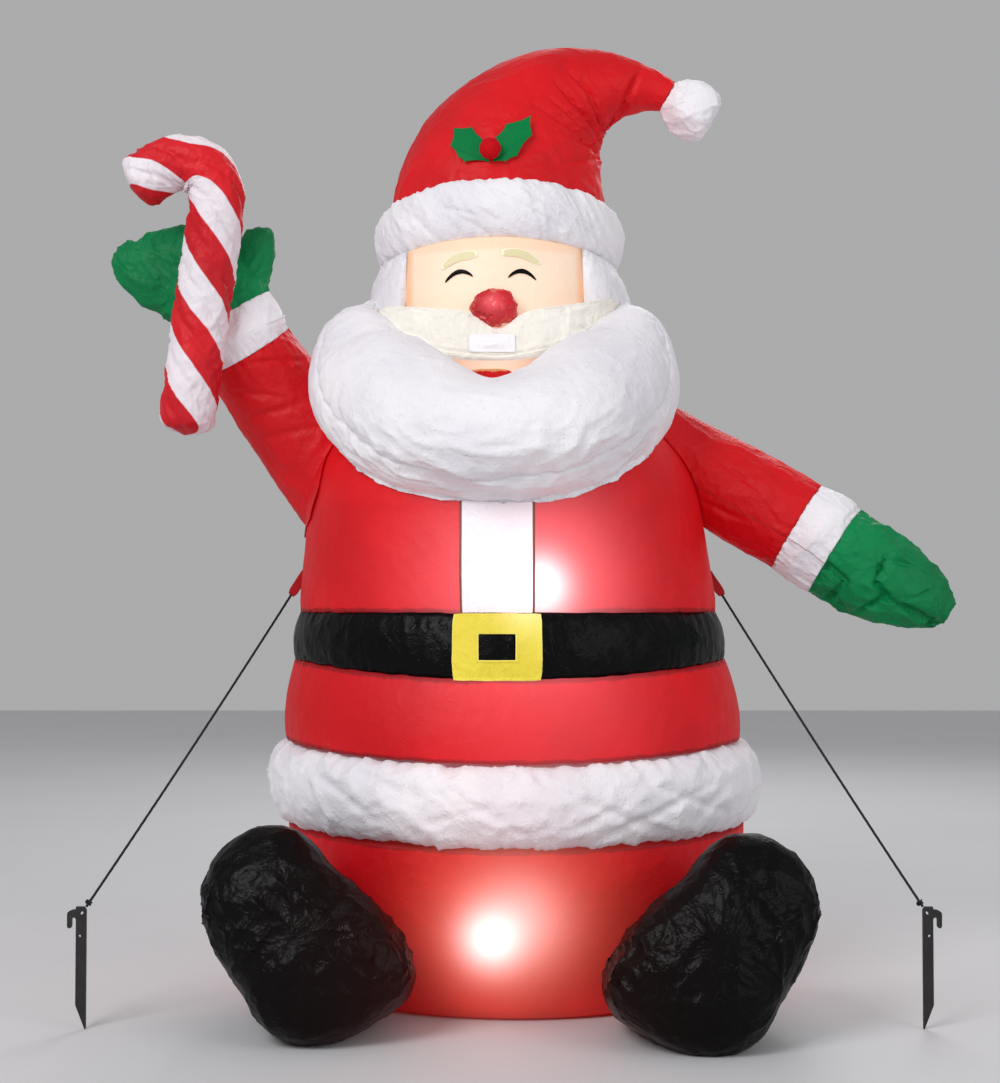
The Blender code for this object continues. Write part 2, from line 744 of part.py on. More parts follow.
def make_boot(name, seat, hem):
    """A boot: the outline of its sole, puffed to the front, and running back into the seat."""
    place = BOOTS[name]
    tip_back = Matrix.Rotation(math.radians(-BOOT_TIP_BACK), 4, "X")
    swing = Matrix.Rotation(math.radians(place["turn"]), 4, "Y")
    frame = Matrix.Translation(place["centre"]) @ tip_back @ swing
    turns = np.linspace(0, 2 * math.pi, BOOT_SIDES, endpoint=False)
    rings = []
    for t in np.linspace(-0.97, 0.97, 2 * BOOT_RINGS - 1):
        depth = (BOOT_FRONT if t < 0 else BOOT_BACK) * t
        share = (1 - abs(t) ** BOOT_PUFF) ** (1 / BOOT_PUFF)
        loop = [(boot_radius(a) * share, a) for a in turns]
        flat = [(place["side"] * r * math.sin(a), depth, r * math.cos(a)) for r, a in loop]
        rings.append([frame @ Vector(point) for point in flat])
    boot = skin(name, rings, BLACK)
    ground = rectangle(0, 0, 2 * CUT_REACH, 2 * CUT_REACH)
    floor = plate("floor", [ground], CUT_REACH, Matrix.Translation((0, 0, -CUT_REACH / 2)), BLACK)
    combine(boot, floor, "DIFFERENCE")
    bpy.data.objects.remove(floor, do_unlink=True)
    return clear_of(boot, seat, hem)


def leaf_outline(x, z, slope, mirror):
    """A holly leaf: a pointed oval whose edge is scooped between spikes."""
    upper = []
    for t in np.linspace(0, 1, 4 * LEAF_SPIKES + 1):
        wave = LEAF_SPIKE_DEPTH * (0.5 - 0.5 * math.cos(2 * math.pi * LEAF_SPIKES * t))
        half = LEAF_HALF_WIDTH * math.sin(math.pi * min(max(t, 0.03), 0.985)) ** 0.7 * (1 - wave)
        upper.append((LEAF_LENGTH * t, half))
    flat = upper + [(along, -half) for along, half in upper[::-1]]
    turn = math.radians(slope)
    points = []
    for along, half in flat:
        px = along * math.cos(turn) - half * math.sin(turn)
        points.append((x + mirror * px, z + along * math.sin(turn) + half * math.cos(turn)))
    return points


def ball(name, place, radius, material, squash=(1, 1, 1)):
    """A small round piece."""
    mesh = bpy.data.meshes.new(name)
    bm = bmesh.new()
    bmesh.ops.create_uvsphere(bm, u_segments=14, v_segments=8, radius=radius)
    bm.to_mesh(mesh)
    bm.free()
    mesh.transform(Matrix.Translation(place) @ Matrix.Diagonal((*squash, 1)))
    mesh.shade_smooth()
    return add_piece(name, mesh, material)


def make_moustache(hair, beard, nose):
    """The moustache: a thin bowed strip that hangs in front of the face."""
    outer, inner, top, bottom = [], [], [], []
    for t in np.linspace(-1, 1, 2 * MOUSTACHE_SPANS + 1):
        x = neck_x + MOUSTACHE_X + MOUSTACHE_HALF * t
        y = -MOUSTACHE_FORWARD + (MOUSTACHE_FORWARD - MOUSTACHE_SIDE_FORWARD) * abs(t) ** 3
        outer.append((x, y - MOUSTACHE_THICKNESS / 2))
        inner.append((x, y + MOUSTACHE_THICKNESS / 2))
        notch = MOUSTACHE_NOTCH[0] * math.exp(-((t / MOUSTACHE_NOTCH[1]) ** 2))
        rise = (MOUSTACHE_TOP[1] - MOUSTACHE_TOP[0]) * t * t
        top.append((x, face_height(MOUSTACHE_TOP[0] + rise - notch)))
        rise = (MOUSTACHE_BOTTOM[1] - MOUSTACHE_BOTTOM[0]) * abs(t) ** 1.9
        bottom.append((x, face_height(MOUSTACHE_BOTTOM[0] + rise)))
    middle = Matrix.Translation((0, 0, neck_z + HEAD_HEIGHT / 2))
    strip = plate("moustache", [outer + inner[::-1]], HEAD_HEIGHT, middle, WHITE)
    outline = plate("outline", [top + bottom[::-1]], CUT_REACH, upright(-CUT_REACH / 2), WHITE)
    combine(strip, outline, "INTERSECT")
    bpy.data.objects.remove(outline, do_unlink=True)
    return clear_of(strip, hair, beard, nose, clearance=LOOSE_GAP)


def arc(x, z, radius_x, radius_z, start, stop, count):
    """Points along part of an oval, angles in degrees."""
    turns = np.radians(np.linspace(start, stop, count))
    return [(x + radius_x * math.cos(a), z + radius_z * math.sin(a)) for a in turns]


def make_stake(side):
    """A ground stake: flat blade with a one-sided point, hook, eye and pin hole."""
    half, top = STAKE_WIDTH / 2, STAKE_LENGTH
    slot, prong = HOOK_SLOT / 2, (HOOK_REACH - HOOK_SLOT) / 2
    low, high = HOOK_SHOULDER
    outline = [(-half, 0.0), (-half + 0.001, 0.0), (half, STAKE_TIP_LENGTH)]
    outline += arc(half + slot, top - SLOT_DROP - slot, slot, slot, 180, 0, 6)
    outline += arc(half + HOOK_REACH - prong, top - HOOK_DROP + prong, prong, prong, 180, 360, 5)
    outline += arc(half, top - high, HOOK_REACH, high - low, 0, 90, 5)
    outline += [(half, top), (-half + CORNER_CUT[0], top), (-half, top - CORNER_CUT[1])]
    turn = math.radians(SLOT_EYE_SLOPE)
    slot_eye = []
    for x, z in disc(0, 0, *SLOT_EYE_HALF, 8):
        across, up = x * math.cos(turn) + z * math.sin(turn), z * math.cos(turn) - x * math.sin(turn)
        slot_eye.append((SLOT_EYE_PLACE[0] + across, top - SLOT_EYE_PLACE[1] + up))
    pin = disc(PIN_PLACE[0], top - PIN_PLACE[1], PIN_RADIUS, PIN_RADIUS, 8)
    outlines = [[(side * x, z) for x, z in points] for points in (outline, slot_eye, pin)]
    name = "left" if side < 0 else "right"
    stake = plate(name + "_stake", outlines, STAKE_THICKNESS, upright(0), PLASTIC)
    edge = stake.modifiers.new("edge", "BEVEL")
    edge.width = STAKE_EDGE
    edge.segments = 1
    edge.limit_method = "ANGLE"
    edge.angle_limit = math.radians(60)
    stake.location = (STAKE_X[name], STAKE_Y, 0)
    return stake


def make_guy_line(side, chest):
    """Webbing tab on the coat's side, and the taut line from it to the stake's corner."""
    name = "left" if side < 0 else "right"
    stake_x = STAKE_X[name]
    corner = -side * (STAKE_WIDTH / 2 - CORNER_CUT[0] / 2)
    foot = Vector((stake_x + corner, STAKE_Y, STAKE_LENGTH - CORNER_CUT[1] / 2))
    height = chest_z + TAB_HEIGHT
    root = Vector((side * trunk_radius(height) + drift(height), 0, height))
    width, length, thickness = TAB_SIZE
    pull = (foot - root).normalized()
    across = Vector((0, 1, 0)) - pull * pull.y
    across.normalize()
    turn = Matrix((across, pull, across.cross(pull))).transposed().to_4x4()
    mesh = bpy.data.meshes.new(name + "_tether_tab")
    bm = bmesh.new()
    bmesh.ops.create_cube(bm, size=1.0)
    bmesh.ops.scale(bm, vec=(width, length, thickness), verts=bm.verts)
    bm.to_mesh(mesh)
    bm.free()
    mesh.transform(Matrix.Translation(root + pull * (length / 2 - thickness)) @ turn)
    tab = add_piece(name + "_tether_tab", mesh, WEBBING)
    clear_of(tab, chest)
    start = root + pull * (length - thickness + GAP)
    stop = foot - pull * (LINE_DIAMETER / 2 + 2 * GAP)
    curve = bpy.data.curves.new(name + "_guy_line", "CURVE")
    curve.dimensions = "3D"
    curve.bevel_depth = LINE_DIAMETER / 2
    curve.bevel_resolution = 2
    curve.use_fill_caps = True
    spline = curve.splines.new("POLY")
    spline.points.add(LINE_POINTS - 1)
    for point, t in zip(spline.points, np.linspace(0, 1, LINE_POINTS)):
        place = start.lerp(stop, t)
        point.co = (place.x, place.y, place.z - 4 * LINE_SAG * t * (1 - t), 1)
    from_curve(name + "_guy_line", curve, CORD)


seat = make_seat()
hem = stack_piece("hem_trim", hem_z, skirt_z, WHITE, HEM_BULGE, 6)
skirt = stack_piece("coat_skirt", skirt_z, belt_z, RED, 0.0, 3)
belt = stack_piece("belt", belt_z, chest_z, BLACK)
chest = make_chest()
head = make_head()
hair = make_hair(head, chest)
band = make_band()
hat = make_hat()
make_pompom(hat)
beard = make_beard(chest, head, hair)

front = neck_x + FRONT_X
placket = rectangle(front, chest_z + PLACKET_LENGTH / 2 + GAP, PLACKET_WIDTH, PLACKET_LENGTH)
placket = sewn_on("placket", [placket], chest, WHITE)
clear_of(beard, placket, folded=True)
middle = chest_z - BUCKLE_SIZE[1] / 2 - 2 * GAP
frame = rectangle(front, middle, *BUCKLE_SIZE)
window = rectangle(front, middle, *BUCKLE_WINDOW)
sewn_on("buckle", [frame, window], belt, YELLOW, BUCKLE_THICKNESS, (skirt, chest, placket))

nose = ball(
    "nose",
    (neck_x + NOSE_PLACE[0], -HEAD_RADIUS - NOSE_FORWARD, face_height(NOSE_PLACE[1])),
    NOSE_RADIUS,
    RED,
    (1.0, 1.0, 0.92),
)
clear_of(nose, head)
for side, name in ((-1, "left"), (1, "right")):
    brow_x, eye_x = (neck_x + EYES_X + side * place[0] for place in (BROW_PLACE, EYE_PLACE))
    brow = crescent(brow_x, face_height(BROW_PLACE[1]), *BROW_SIZE, BROW_RISE, -side * BROW_SLOPE)
    sewn_on(name + "_brow", [brow], head, CREAM)
    eye = crescent(eye_x, face_height(EYE_PLACE[1]), *EYE_SIZE, EYE_RISE, -side * EYE_SLOPE)
    sewn_on(name + "_eye", [eye], head, BLACK)
mouth = disc(neck_x + MOUTH_PLACE[0], face_height(MOUTH_PLACE[1]), MOUTH_SIZE[0] / 2, MOUTH_SIZE[1] / 2)
sewn_on("mouth", [mouth], head, RED)
moustache = make_moustache(hair, beard, nose)
window_patch = rectangle(neck_x + TAPE_PLACE[0], face_height(TAPE_PLACE[1]), *TAPE_SIZE)
sewn_on("moustache_patch", [window_patch], moustache, WHITE, TAPE_THICKNESS)

pieces = make_arms(chest, [beard])
cane = make_cane()
for name in ("raised_mitten", "raised_cuff", "raised_sleeve"):
    clear_of(pieces[name], cane)
for name in BOOTS:
    make_boot(name, seat, hem)

leaves = []
for name, mirror, slope in (("left", -1, LEAF_SLOPES[0]), ("right", 1, LEAF_SLOPES[1])):
    outline = leaf_outline(neck_x + SPRIG_X, hat_z + SPRIG_HEIGHT, slope, mirror)
    leaves.append(sewn_on(name + "_holly_leaf", [outline], hat, GREEN, LEAF_THICKNESS))
berry = ball("holly_berry", (neck_x + SPRIG_X, -HAT_RADIUS, hat_z + BERRY_HEIGHT), BERRY_RADIUS, RED)
clear_of(berry, hat)
for leaf in leaves:
    clear_of(leaf, berry)
clear_of(leaves[1], leaves[0])

for side in (-1, 1):
    make_stake(side)
    make_guy_line(side, chest)
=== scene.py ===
"""Looks of the seated inflatable Santa: sewn nylon skins puffed by air, cords, stakes and a studio.

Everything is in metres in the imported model's frame: +Z up, the figure faces -Y, and left and
right are the viewer's. A skin is a grid of points. Its second parameter runs round a ring and
its first one along the piece. Folds are heights added along the grid's own normals.
"""

import itertools
import logging
import math
from collections.abc import Callable
from dataclasses import dataclass, field, replace
from enum import Enum
from functools import partial

import bpy
import numpy as np
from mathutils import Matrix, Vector


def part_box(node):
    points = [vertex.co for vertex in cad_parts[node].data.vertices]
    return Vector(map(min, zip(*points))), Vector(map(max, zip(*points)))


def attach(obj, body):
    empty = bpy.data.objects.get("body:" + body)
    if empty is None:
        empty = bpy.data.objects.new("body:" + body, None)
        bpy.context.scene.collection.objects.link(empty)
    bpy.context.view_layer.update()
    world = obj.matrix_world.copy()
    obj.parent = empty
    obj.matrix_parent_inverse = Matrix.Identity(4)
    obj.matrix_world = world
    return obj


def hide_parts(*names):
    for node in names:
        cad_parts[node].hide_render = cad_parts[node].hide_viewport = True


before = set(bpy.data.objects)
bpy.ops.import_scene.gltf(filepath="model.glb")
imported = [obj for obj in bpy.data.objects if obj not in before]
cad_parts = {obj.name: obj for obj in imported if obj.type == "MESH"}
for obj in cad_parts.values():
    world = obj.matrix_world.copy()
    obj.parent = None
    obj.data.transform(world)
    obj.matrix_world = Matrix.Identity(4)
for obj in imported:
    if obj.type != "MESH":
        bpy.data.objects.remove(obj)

Array = np.ndarray
Place = tuple[float, float, float]
Rgb = tuple[int, int, int]
# A straight fold: where it starts and stops, as x and z, its depth and half of its width.
Fold = tuple[tuple[float, float], tuple[float, float], float, float]
log = logging.getLogger("inflatable_santa")

RIGHT, BACK, UP = np.eye(3)
HEAD_RADIUS = 0.155
# Large primes that scatter the cells of the noise.
CELL_PRIMES = np.array((73856093, 19349663, 83492791))
SEED_PRIME = 9176
MIX_PRIME = 1274126177

BODY = "root"
SEWN = "sewn_"
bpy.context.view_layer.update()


class Slot(Enum):
    """Material slots of the record."""

    RED = "red_nylon"
    WHITE = "white_nylon"
    GREEN = "green_nylon"
    BLACK = "black_nylon"
    YELLOW = "yellow_nylon"
    SKIN = "skin_nylon"
    CREAM = "cream_nylon"
    STRIPED = "striped_nylon"
    WEBBING = "red_webbing"
    CORD = "black_cord"
    PLASTIC = "black_plastic"


class Side(Enum):
    """The viewer's side of the figure, with its sign along X."""

    LEFT = -1
    RIGHT = 1

    @property
    def word(self) -> str:
        """The side as it stands in the names of nodes."""
        return self.name.lower()


def lattice_noise(points: Array, seed: int) -> Array:
    """Smooth noise in about -1 to 1: random slopes on a unit lattice, eased from corner to corner.

    Args:
        points: places, xyz last, one unit for each lattice cell.
        seed: picks the slopes.

    Returns:
        One value for each place.
    """
    cell = np.floor(points)
    part = points - cell
    cell = cell.astype(np.int64)
    ease = part**3 * (part * (part * 6 - 15) + 10)
    total = np.zeros(points.shape[:-1])
    for corner in itertools.product((0, 1), repeat=3):
        step = np.array(corner)
        mixed = ((cell + step) * CELL_PRIMES).sum(-1) + seed * SEED_PRIME
        mixed = ((mixed ^ (mixed >> 13)) & 0xFFFFFFFF) * MIX_PRIME
        mixed = (mixed ^ (mixed >> 16)) & 0x3FFFFFFF
        slope = np.stack([((mixed >> shift) & 1023) / 511.5 - 1 for shift in (0, 10, 20)], -1)
        weight = np.prod(np.where(step, ease, 1 - ease), axis=-1)
        total += weight * ((part - step) * slope).sum(-1)
    return total


def creases(cloth: Array, size: Place | float, seed: int, layers: int = 3) -> Array:
    """Creased cloth: the noise's changes of sign, bent by more noise, become thin ridges.

    Each layer is (1 - 4.5 * |noise|) ** 1.7. The next one is 1.87 times as fine and 0.6 as strong.

    Args:
        cloth: places on the cloth, in metres.
        size: spacing of the folds, in metres, or one spacing for each axis.
        seed: picks the pattern.
        layers: how many finer copies are added.

    Returns:
        0 in the flats to about 1 on the ridges.
    """
    place = cloth / np.asarray(size)
    bend = np.stack([lattice_noise(place * 0.7 + 31.7 * k, seed + k) for k in range(3)], -1)
    place = place + 0.6 * bend
    total, weight, whole = 0.0, 1.0, 0.0
    for layer in range(layers):
        ridge = np.clip(1 - 4.5 * np.abs(lattice_noise(place, seed + 7 + layer)), 0, 1)
        total = total + weight * ridge**1.7
        whole += weight
        place = place * 1.87 + 3.1
        weight *= 0.6
    return total / whole


def cubic(before: Array, start: Array, stop: Array, after: Array, t: Array) -> Array:
    """The smooth cubic from start to stop at a share t, with the slopes that its neighbours give."""
    bend = (2 * before - 5 * start + 4 * stop - after) * t**2
    twist = (3 * start - before - 3 * stop + after) * t**3
    return 0.5 * (2 * start + (stop - before) * t + bend + twist)


def smooth_rows(rows: Array, per_span: int) -> Array:
    """Rows of numbers filled in by a smooth cubic that passes through each of them.

    Args:
        rows: the rows that the curve passes through.
        per_span: new rows from one row to the next.

    Returns:
        The filled rows, the last one included.
    """
    rows = np.asarray(rows, float)
    ends = np.vstack([2 * rows[0] - rows[1], rows, 2 * rows[-1] - rows[-2]])
    t = (np.arange(per_span) / per_span)[None, :, None]
    filled = cubic(*(ends[k : len(ends) - 3 + k][:, None] for k in range(4)), t)
    return np.vstack([filled.reshape(-1, rows.shape[1]), rows[-1:]])


def smooth_loop(corners: Array, per_span: int) -> Array:
    """A closed smooth curve through corners."""
    wrapped = np.vstack([corners[-2:], corners, corners[:2]])
    return smooth_rows(wrapped, per_span)[2 * per_span : -2 * per_span - 1]


def unit(vectors: Array) -> Array:
    """Vectors scaled to length one."""
    return vectors / np.maximum(np.linalg.norm(vectors, axis=-1, keepdims=True), 1e-12)


def bell(distance: Array, width: float) -> Array:
    """A smooth bump: 1 at no distance, falling off as exp(-(distance / width) squared)."""
    return np.exp(-((distance / width) ** 2))


def whole_turn(count: int) -> Array:
    """Evenly spaced angles once round."""
    return np.linspace(0, 2 * np.pi, count, endpoint=False)


def stacked(*parts: Array | float) -> Array:
    """Coordinates of any matching shapes as one array, with the coordinates last."""
    return np.stack(np.broadcast_arrays(*parts), -1)


def signed_power(values: Array, power: float) -> Array:
    """The size of each value to a power, with the value's own sign."""
    return np.sign(values) * np.abs(values) ** power


def pushed_out(points: Array, axis: Array, radius: Array) -> Array:
    """Points moved out from an upright axis, so that none is closer to it than a radius."""
    off = points[..., :2] - axis
    far = np.linalg.norm(off, axis=-1)
    scale = np.where(far < radius, radius / np.maximum(far, 1e-6), 1)
    moved = points.copy()
    moved[..., :2] += off * (scale - 1)[..., None]
    return moved


def pushed_forward(points: Array, axis_x: Array | float, radius: Array, there: Array) -> Array:
    """Points moved straight forward out of an upright round wall, where there is true."""
    reach = np.sqrt(np.clip(radius**2 - (points[..., 0] - axis_x) ** 2, 0, None))
    moved = points.copy()
    moved[..., 1] = np.where(there, np.minimum(moved[..., 1], -reach), moved[..., 1])
    return moved


@dataclass
class Skin:
    """A grid of points, closed round its rings, and closed at its two ends by fans.

    Attributes:
        points: rows, round, xyz.
        cloth: the same grid laid out as cloth for the fold patterns, in metres.
        looped: the rows also close into a loop, so that there are no ends.
    """

    points: Array
    cloth: Array
    looped: bool = False

    def normals(self) -> Array:
        """Outward normals: the cross product of the steps round and along the grid."""
        round_step = np.roll(self.points, -1, 1) - np.roll(self.points, 1, 1)
        if self.looped:
            along = np.roll(self.points, -1, 0) - np.roll(self.points, 1, 0)
        else:
            along = np.gradient(self.points, axis=0)
        normal = unit(np.cross(round_step, along))
        outward = self.points - self.points.mean(1, keepdims=True)
        return normal * np.sign((normal * outward).sum())

    def puff(self, height: Array) -> "Skin":
        """Move each point out along its normal by a height."""
        self.points = self.points + self.normals() * height[..., None]
        return self

    def crinkle(
        self,
        size: Place | float,
        depth: float,
        seed: int,
        share: Array | float = 1.0,
        layers: int = 3,
    ) -> "Skin":
        """Add folds of a depth, about half of them outwards, by a share that may vary over the skin."""
        return self.puff(share * depth * (creases(self.cloth, size, seed, layers) - 0.35))

    def gather(self, away: Array, reach: float, size: Place, depth: float, seed: int) -> "Skin":
        """Pinch the skin at a seam, with folds that run away from it and fade as exp(-away / reach).

        Args:
            away: distance from the seam at each point, in metres.
            reach: how far the folds run, in metres.
            size: spacing of the folds, long in the direction that they run in.
            depth: of the pinch, in metres.
            seed: picks the folds.

        Returns:
            The skin itself.
        """
        folds = creases(self.cloth, size, seed, 2)
        return self.puff(-depth * np.exp(-away / reach) * (0.3 + 1.4 * folds))

    def pucker(self, row: float, reach: float, spacing: float, depth: float, seed: int) -> "Skin":
        """Gather the skin at a seam across it, at a place along the cloth."""
        away = np.abs(self.cloth[..., 2] - row)
        return self.gather(away, reach, (spacing, spacing, 6 * spacing), depth, seed)

    def turns(self) -> Array:
        """The share of a turn at each point of a ring, 0 to 1."""
        return np.arange(self.points.shape[1]) / self.points.shape[1]

    def girth(self) -> Array:
        """Length round each ring, in metres."""
        return np.linalg.norm(self.points - np.roll(self.points, 1, 1), axis=-1).sum(1)

    def press(self, folds: tuple[Fold, ...]) -> "Skin":
        """Press straight folds into the front, each given by its start and stop as x and z.

        A fold is depth * exp(-(distance from its line / width) squared), on what faces the viewer.

        Args:
            folds: the folds, in metres.

        Returns:
            The skin itself.
        """
        facing = np.clip(-2 * self.normals()[..., 1], 0, 1)
        flat = self.points[..., [0, 2]]
        total = np.zeros(flat.shape[:2])
        for start, stop, depth, width in folds:
            line = np.subtract(stop, start)
            t = np.clip(((flat - start) * line).sum(-1) / (line**2).sum(), 0, 1)
            off = np.linalg.norm(flat - start - line * t[..., None], axis=-1)
            total += depth * bell(off, width) * np.sin(np.pi * (0.15 + 0.7 * t))
        return self.puff(-total * facing)

    def build(self, name: str) -> bpy.types.Object:
        """Make the mesh: a quad for each cell and a fan at each end, with turn and metres as UVs.

        Args:
            name: what the object is called after its prefix, as a rule a CAD node's name.

        Returns:
            The new object, in the scene.
        """
        rows, sides = self.points.shape[:2]
        cells = rows if self.looped else rows - 1
        row, side = np.meshgrid(np.arange(cells), np.arange(sides), indexing="ij")
        up, on = (row + 1) % rows, (side + 1) % sides
        quads = np.stack([row * sides + side, row * sides + on, up * sides + on, up * sides + side], -1)
        verts = self.points.reshape(-1, 3)
        turn = np.stack([side, side + 1, side + 1, side], -1) / sides
        metres = self.cloth[..., 2]
        height = np.stack([metres[row, side], metres[row, on], metres[up, on], metres[up, side]], -1)
        faces = quads.reshape(-1, 4).tolist()
        uvs = [np.stack([turn, height], -1).reshape(-1, 2)]
        if not self.looped:
            ends = np.stack([self.points[0].mean(0), self.points[-1].mean(0)])
            verts = np.vstack([verts, ends])
            here, there = np.arange(sides), (np.arange(sides) + 1) % sides
            last = (rows - 1) * sides
            centre = rows * sides
            first_fan = np.stack([there, here, np.full(sides, centre)], -1)
            last_fan = np.stack([last + here, last + there, np.full(sides, centre + 1)], -1)
            faces += first_fan.tolist() + last_fan.tolist()
            for end in (metres[0].mean(), metres[-1].mean()):
                fan = np.stack([(here + 1) / sides, here / sides, (here + 0.5) / sides], -1)
                uvs.append(np.stack([fan, np.full(fan.shape, end)], -1).reshape(-1, 2))
        mesh = bpy.data.meshes.new(name)
        mesh.from_pydata(verts.tolist(), [], faces)
        layer = mesh.uv_layers.new(name="turn_and_metres")
        layer.data.foreach_set("uv", np.concatenate(uvs).astype(np.float32).ravel())
        if self.signed_volume() < 0:
            mesh.flip_normals()
        mesh.shade_smooth()
        piece = bpy.data.objects.new(SEWN + name, mesh)
        bpy.context.scene.collection.objects.link(piece)
        return piece

    def signed_volume(self) -> float:
        """The grid's volume, positive where its quads face outwards."""
        corner = self.points - self.points.mean((0, 1))
        on = np.roll(corner, -1, 1)
        low, low_on, high, high_on = corner[:-1], on[:-1], corner[1:], on[1:]
        first = (low * np.cross(low_on, high_on)).sum()
        return float(first + (low * np.cross(high_on, high)).sum())


def ring_skin(
    places: Array,
    across: Array,
    through: Array,
    half_width: Array | float,
    half_depth: Array | float,
    sides: int,
    power: float = 2.0,
    back_power: float | None = None,
    looped: bool = False,
) -> Skin:
    """Carry a ring along a path: centre + across * cos(turn) * width + through * sin(turn) * depth.

    Args:
        places: centres of the rings.
        across: unit direction of the rings' width, one for all or one for each.
        through: unit direction of their depth, in the same way.
        half_width: half of their width, in the same way.
        half_depth: half of their depth, in the same way.
        sides: points round a ring.
        power: 2 for an ellipse, more for a squarer ring.
        back_power: the same for the half towards through.
        looped: the path closes into a loop.

    Returns:
        The skin, with its length along the path as the cloth's third axis.
    """
    turn = whole_turn(sides)
    c, s = np.cos(turn), np.sin(turn)
    bend = 2 / np.where(s > 0, back_power or power, power)
    across, through = (np.broadcast_to(way, places.shape) for way in (across, through))
    half_width, half_depth = (np.broadcast_to(half, len(places)) for half in (half_width, half_depth))
    side_way = across[:, None] * (half_width[:, None] * signed_power(c, bend))[..., None]
    depth_way = through[:, None] * (half_depth[:, None] * signed_power(s, bend))[..., None]
    length = np.concatenate([[0], np.cumsum(np.linalg.norm(np.diff(places, axis=0), axis=1))])
    cloth = stacked(half_width[:, None] * c, half_depth[:, None] * s, length[:, None])
    return Skin(places[:, None] + side_way + depth_way, cloth, looped)


def path_frames(path: Array) -> tuple[Array, Array, Array]:
    """Unit directions at each point of a path: along it, across it, and through it towards +Y."""
    along = unit(np.gradient(path, axis=0))
    through = unit(BACK - along * along[:, 1:2])
    return along, np.cross(through, along), through


def path_skin(rows: Array, per_span: int, sides: int, back_power: float = 2.0) -> Skin:
    """A ring carried square to a smooth path of rows x, y, z, half width, half depth.

    Args:
        rows: the path's own rows.
        per_span: rings from one row to the next.
        sides: points round a ring.
        back_power: squareness of the rings' back half.

    Returns:
        The skin.
    """
    fine = smooth_rows(rows, per_span)
    _, across, through = path_frames(fine[:, :3])
    return ring_skin(fine[:, :3], across, through, fine[:, 3], fine[:, 4], sides, back_power=back_power)


def ball_skin(
    middle: Array, radius: float, rows: int, sides: int, rim: float, deep: float = 1.0, tall: float = 1.0
) -> Skin:
    """A ball of rings from back to front: radius * cos(lift) wide at radius * sin(lift) forward.

    Args:
        middle: of the ball.
        radius: of the ball.
        rows: how many rings.
        sides: points round a ring.
        rim: added to each ring, so that the first and last keep a width.
        deep: share of the radius that it goes forward.
        tall: share of its width that it is high.

    Returns:
        The skin.
    """
    lift = np.linspace(-0.5, 0.5, rows) * np.pi
    places = middle + stacked(0, -radius * deep * np.sin(lift), 0)
    half = radius * np.cos(lift) + rim
    return ring_skin(places, RIGHT, UP, half, half * tall, sides)


def pad_skin(outline: Array, seat: Callable, thickness: float, clearance: float) -> Skin:
    """A flat pad inside an outline, with a front that rounds off at the edge and a flat back.

    Each ring is the outline shrunk towards its middle; the front lies at thickness * (1 - share^6)^0.5.

    Args:
        outline: x and z round the pad.
        seat: gives the places for x, z and a lift off what the pad is sewn to.
        thickness: of the pad, in metres.
        clearance: between its back and what it is sewn to, in metres.

    Returns:
        The skin; its cloth holds x, z and the share of the way out to the edge in hundredths.
    """
    front = 1 - np.linspace(0.99, 0, 20) ** 1.5
    share = np.concatenate([front, front[-2::-3]])
    lift = np.full(len(share), clearance)
    lift[: len(front)] += thickness * np.sqrt(1 - front**6)
    middle = outline.mean(0)
    flat = middle + share[:, None, None] * (outline - middle)
    points = seat(flat[..., 0], flat[..., 1], np.broadcast_to(lift[:, None], flat.shape[:2]))
    edge = np.broadcast_to(share[:, None, None] / 100, (*flat.shape[:2], 1))
    return Skin(points, np.concatenate([flat, edge], -1))


def squared(turn: Array, power: float) -> Array:
    """A superellipse of half width and half height 1, as x and z round it."""
    return stacked(signed_power(np.cos(turn), 2 / power), signed_power(np.sin(turn), 2 / power))


def closed_curve(corners: tuple[tuple[float, float], ...], per_span: int, bow: float = 0.0) -> Array:
    """Points round a polygon whose sides bow inwards by a share of their length."""
    start = np.array(corners)
    side = np.roll(start, -1, 0) - start
    inward = stacked(-side[:, 1], side[:, 0])
    area = (start[:, 0] * np.roll(start[:, 1], -1) - np.roll(start[:, 0], -1) * start[:, 1]).sum()
    t = (np.arange(per_span) / per_span)[None, :, None]
    arc = math.copysign(bow, area) * inward[:, None] * 4 * t * (1 - t)
    return (start[:, None] + side[:, None] * t + arc).reshape(-1, 2)


def tone(red: int, green: int, blue: int) -> tuple[float, float, float, float]:
    """A display colour of 0 to 255 as linear light with alpha."""
    share = np.array((red, green, blue)) / 255
    light = np.where(share <= 0.04045, share / 12.92, ((share + 0.055) / 1.055) ** 2.4)
    return (*(float(value) for value in light), 1.0)


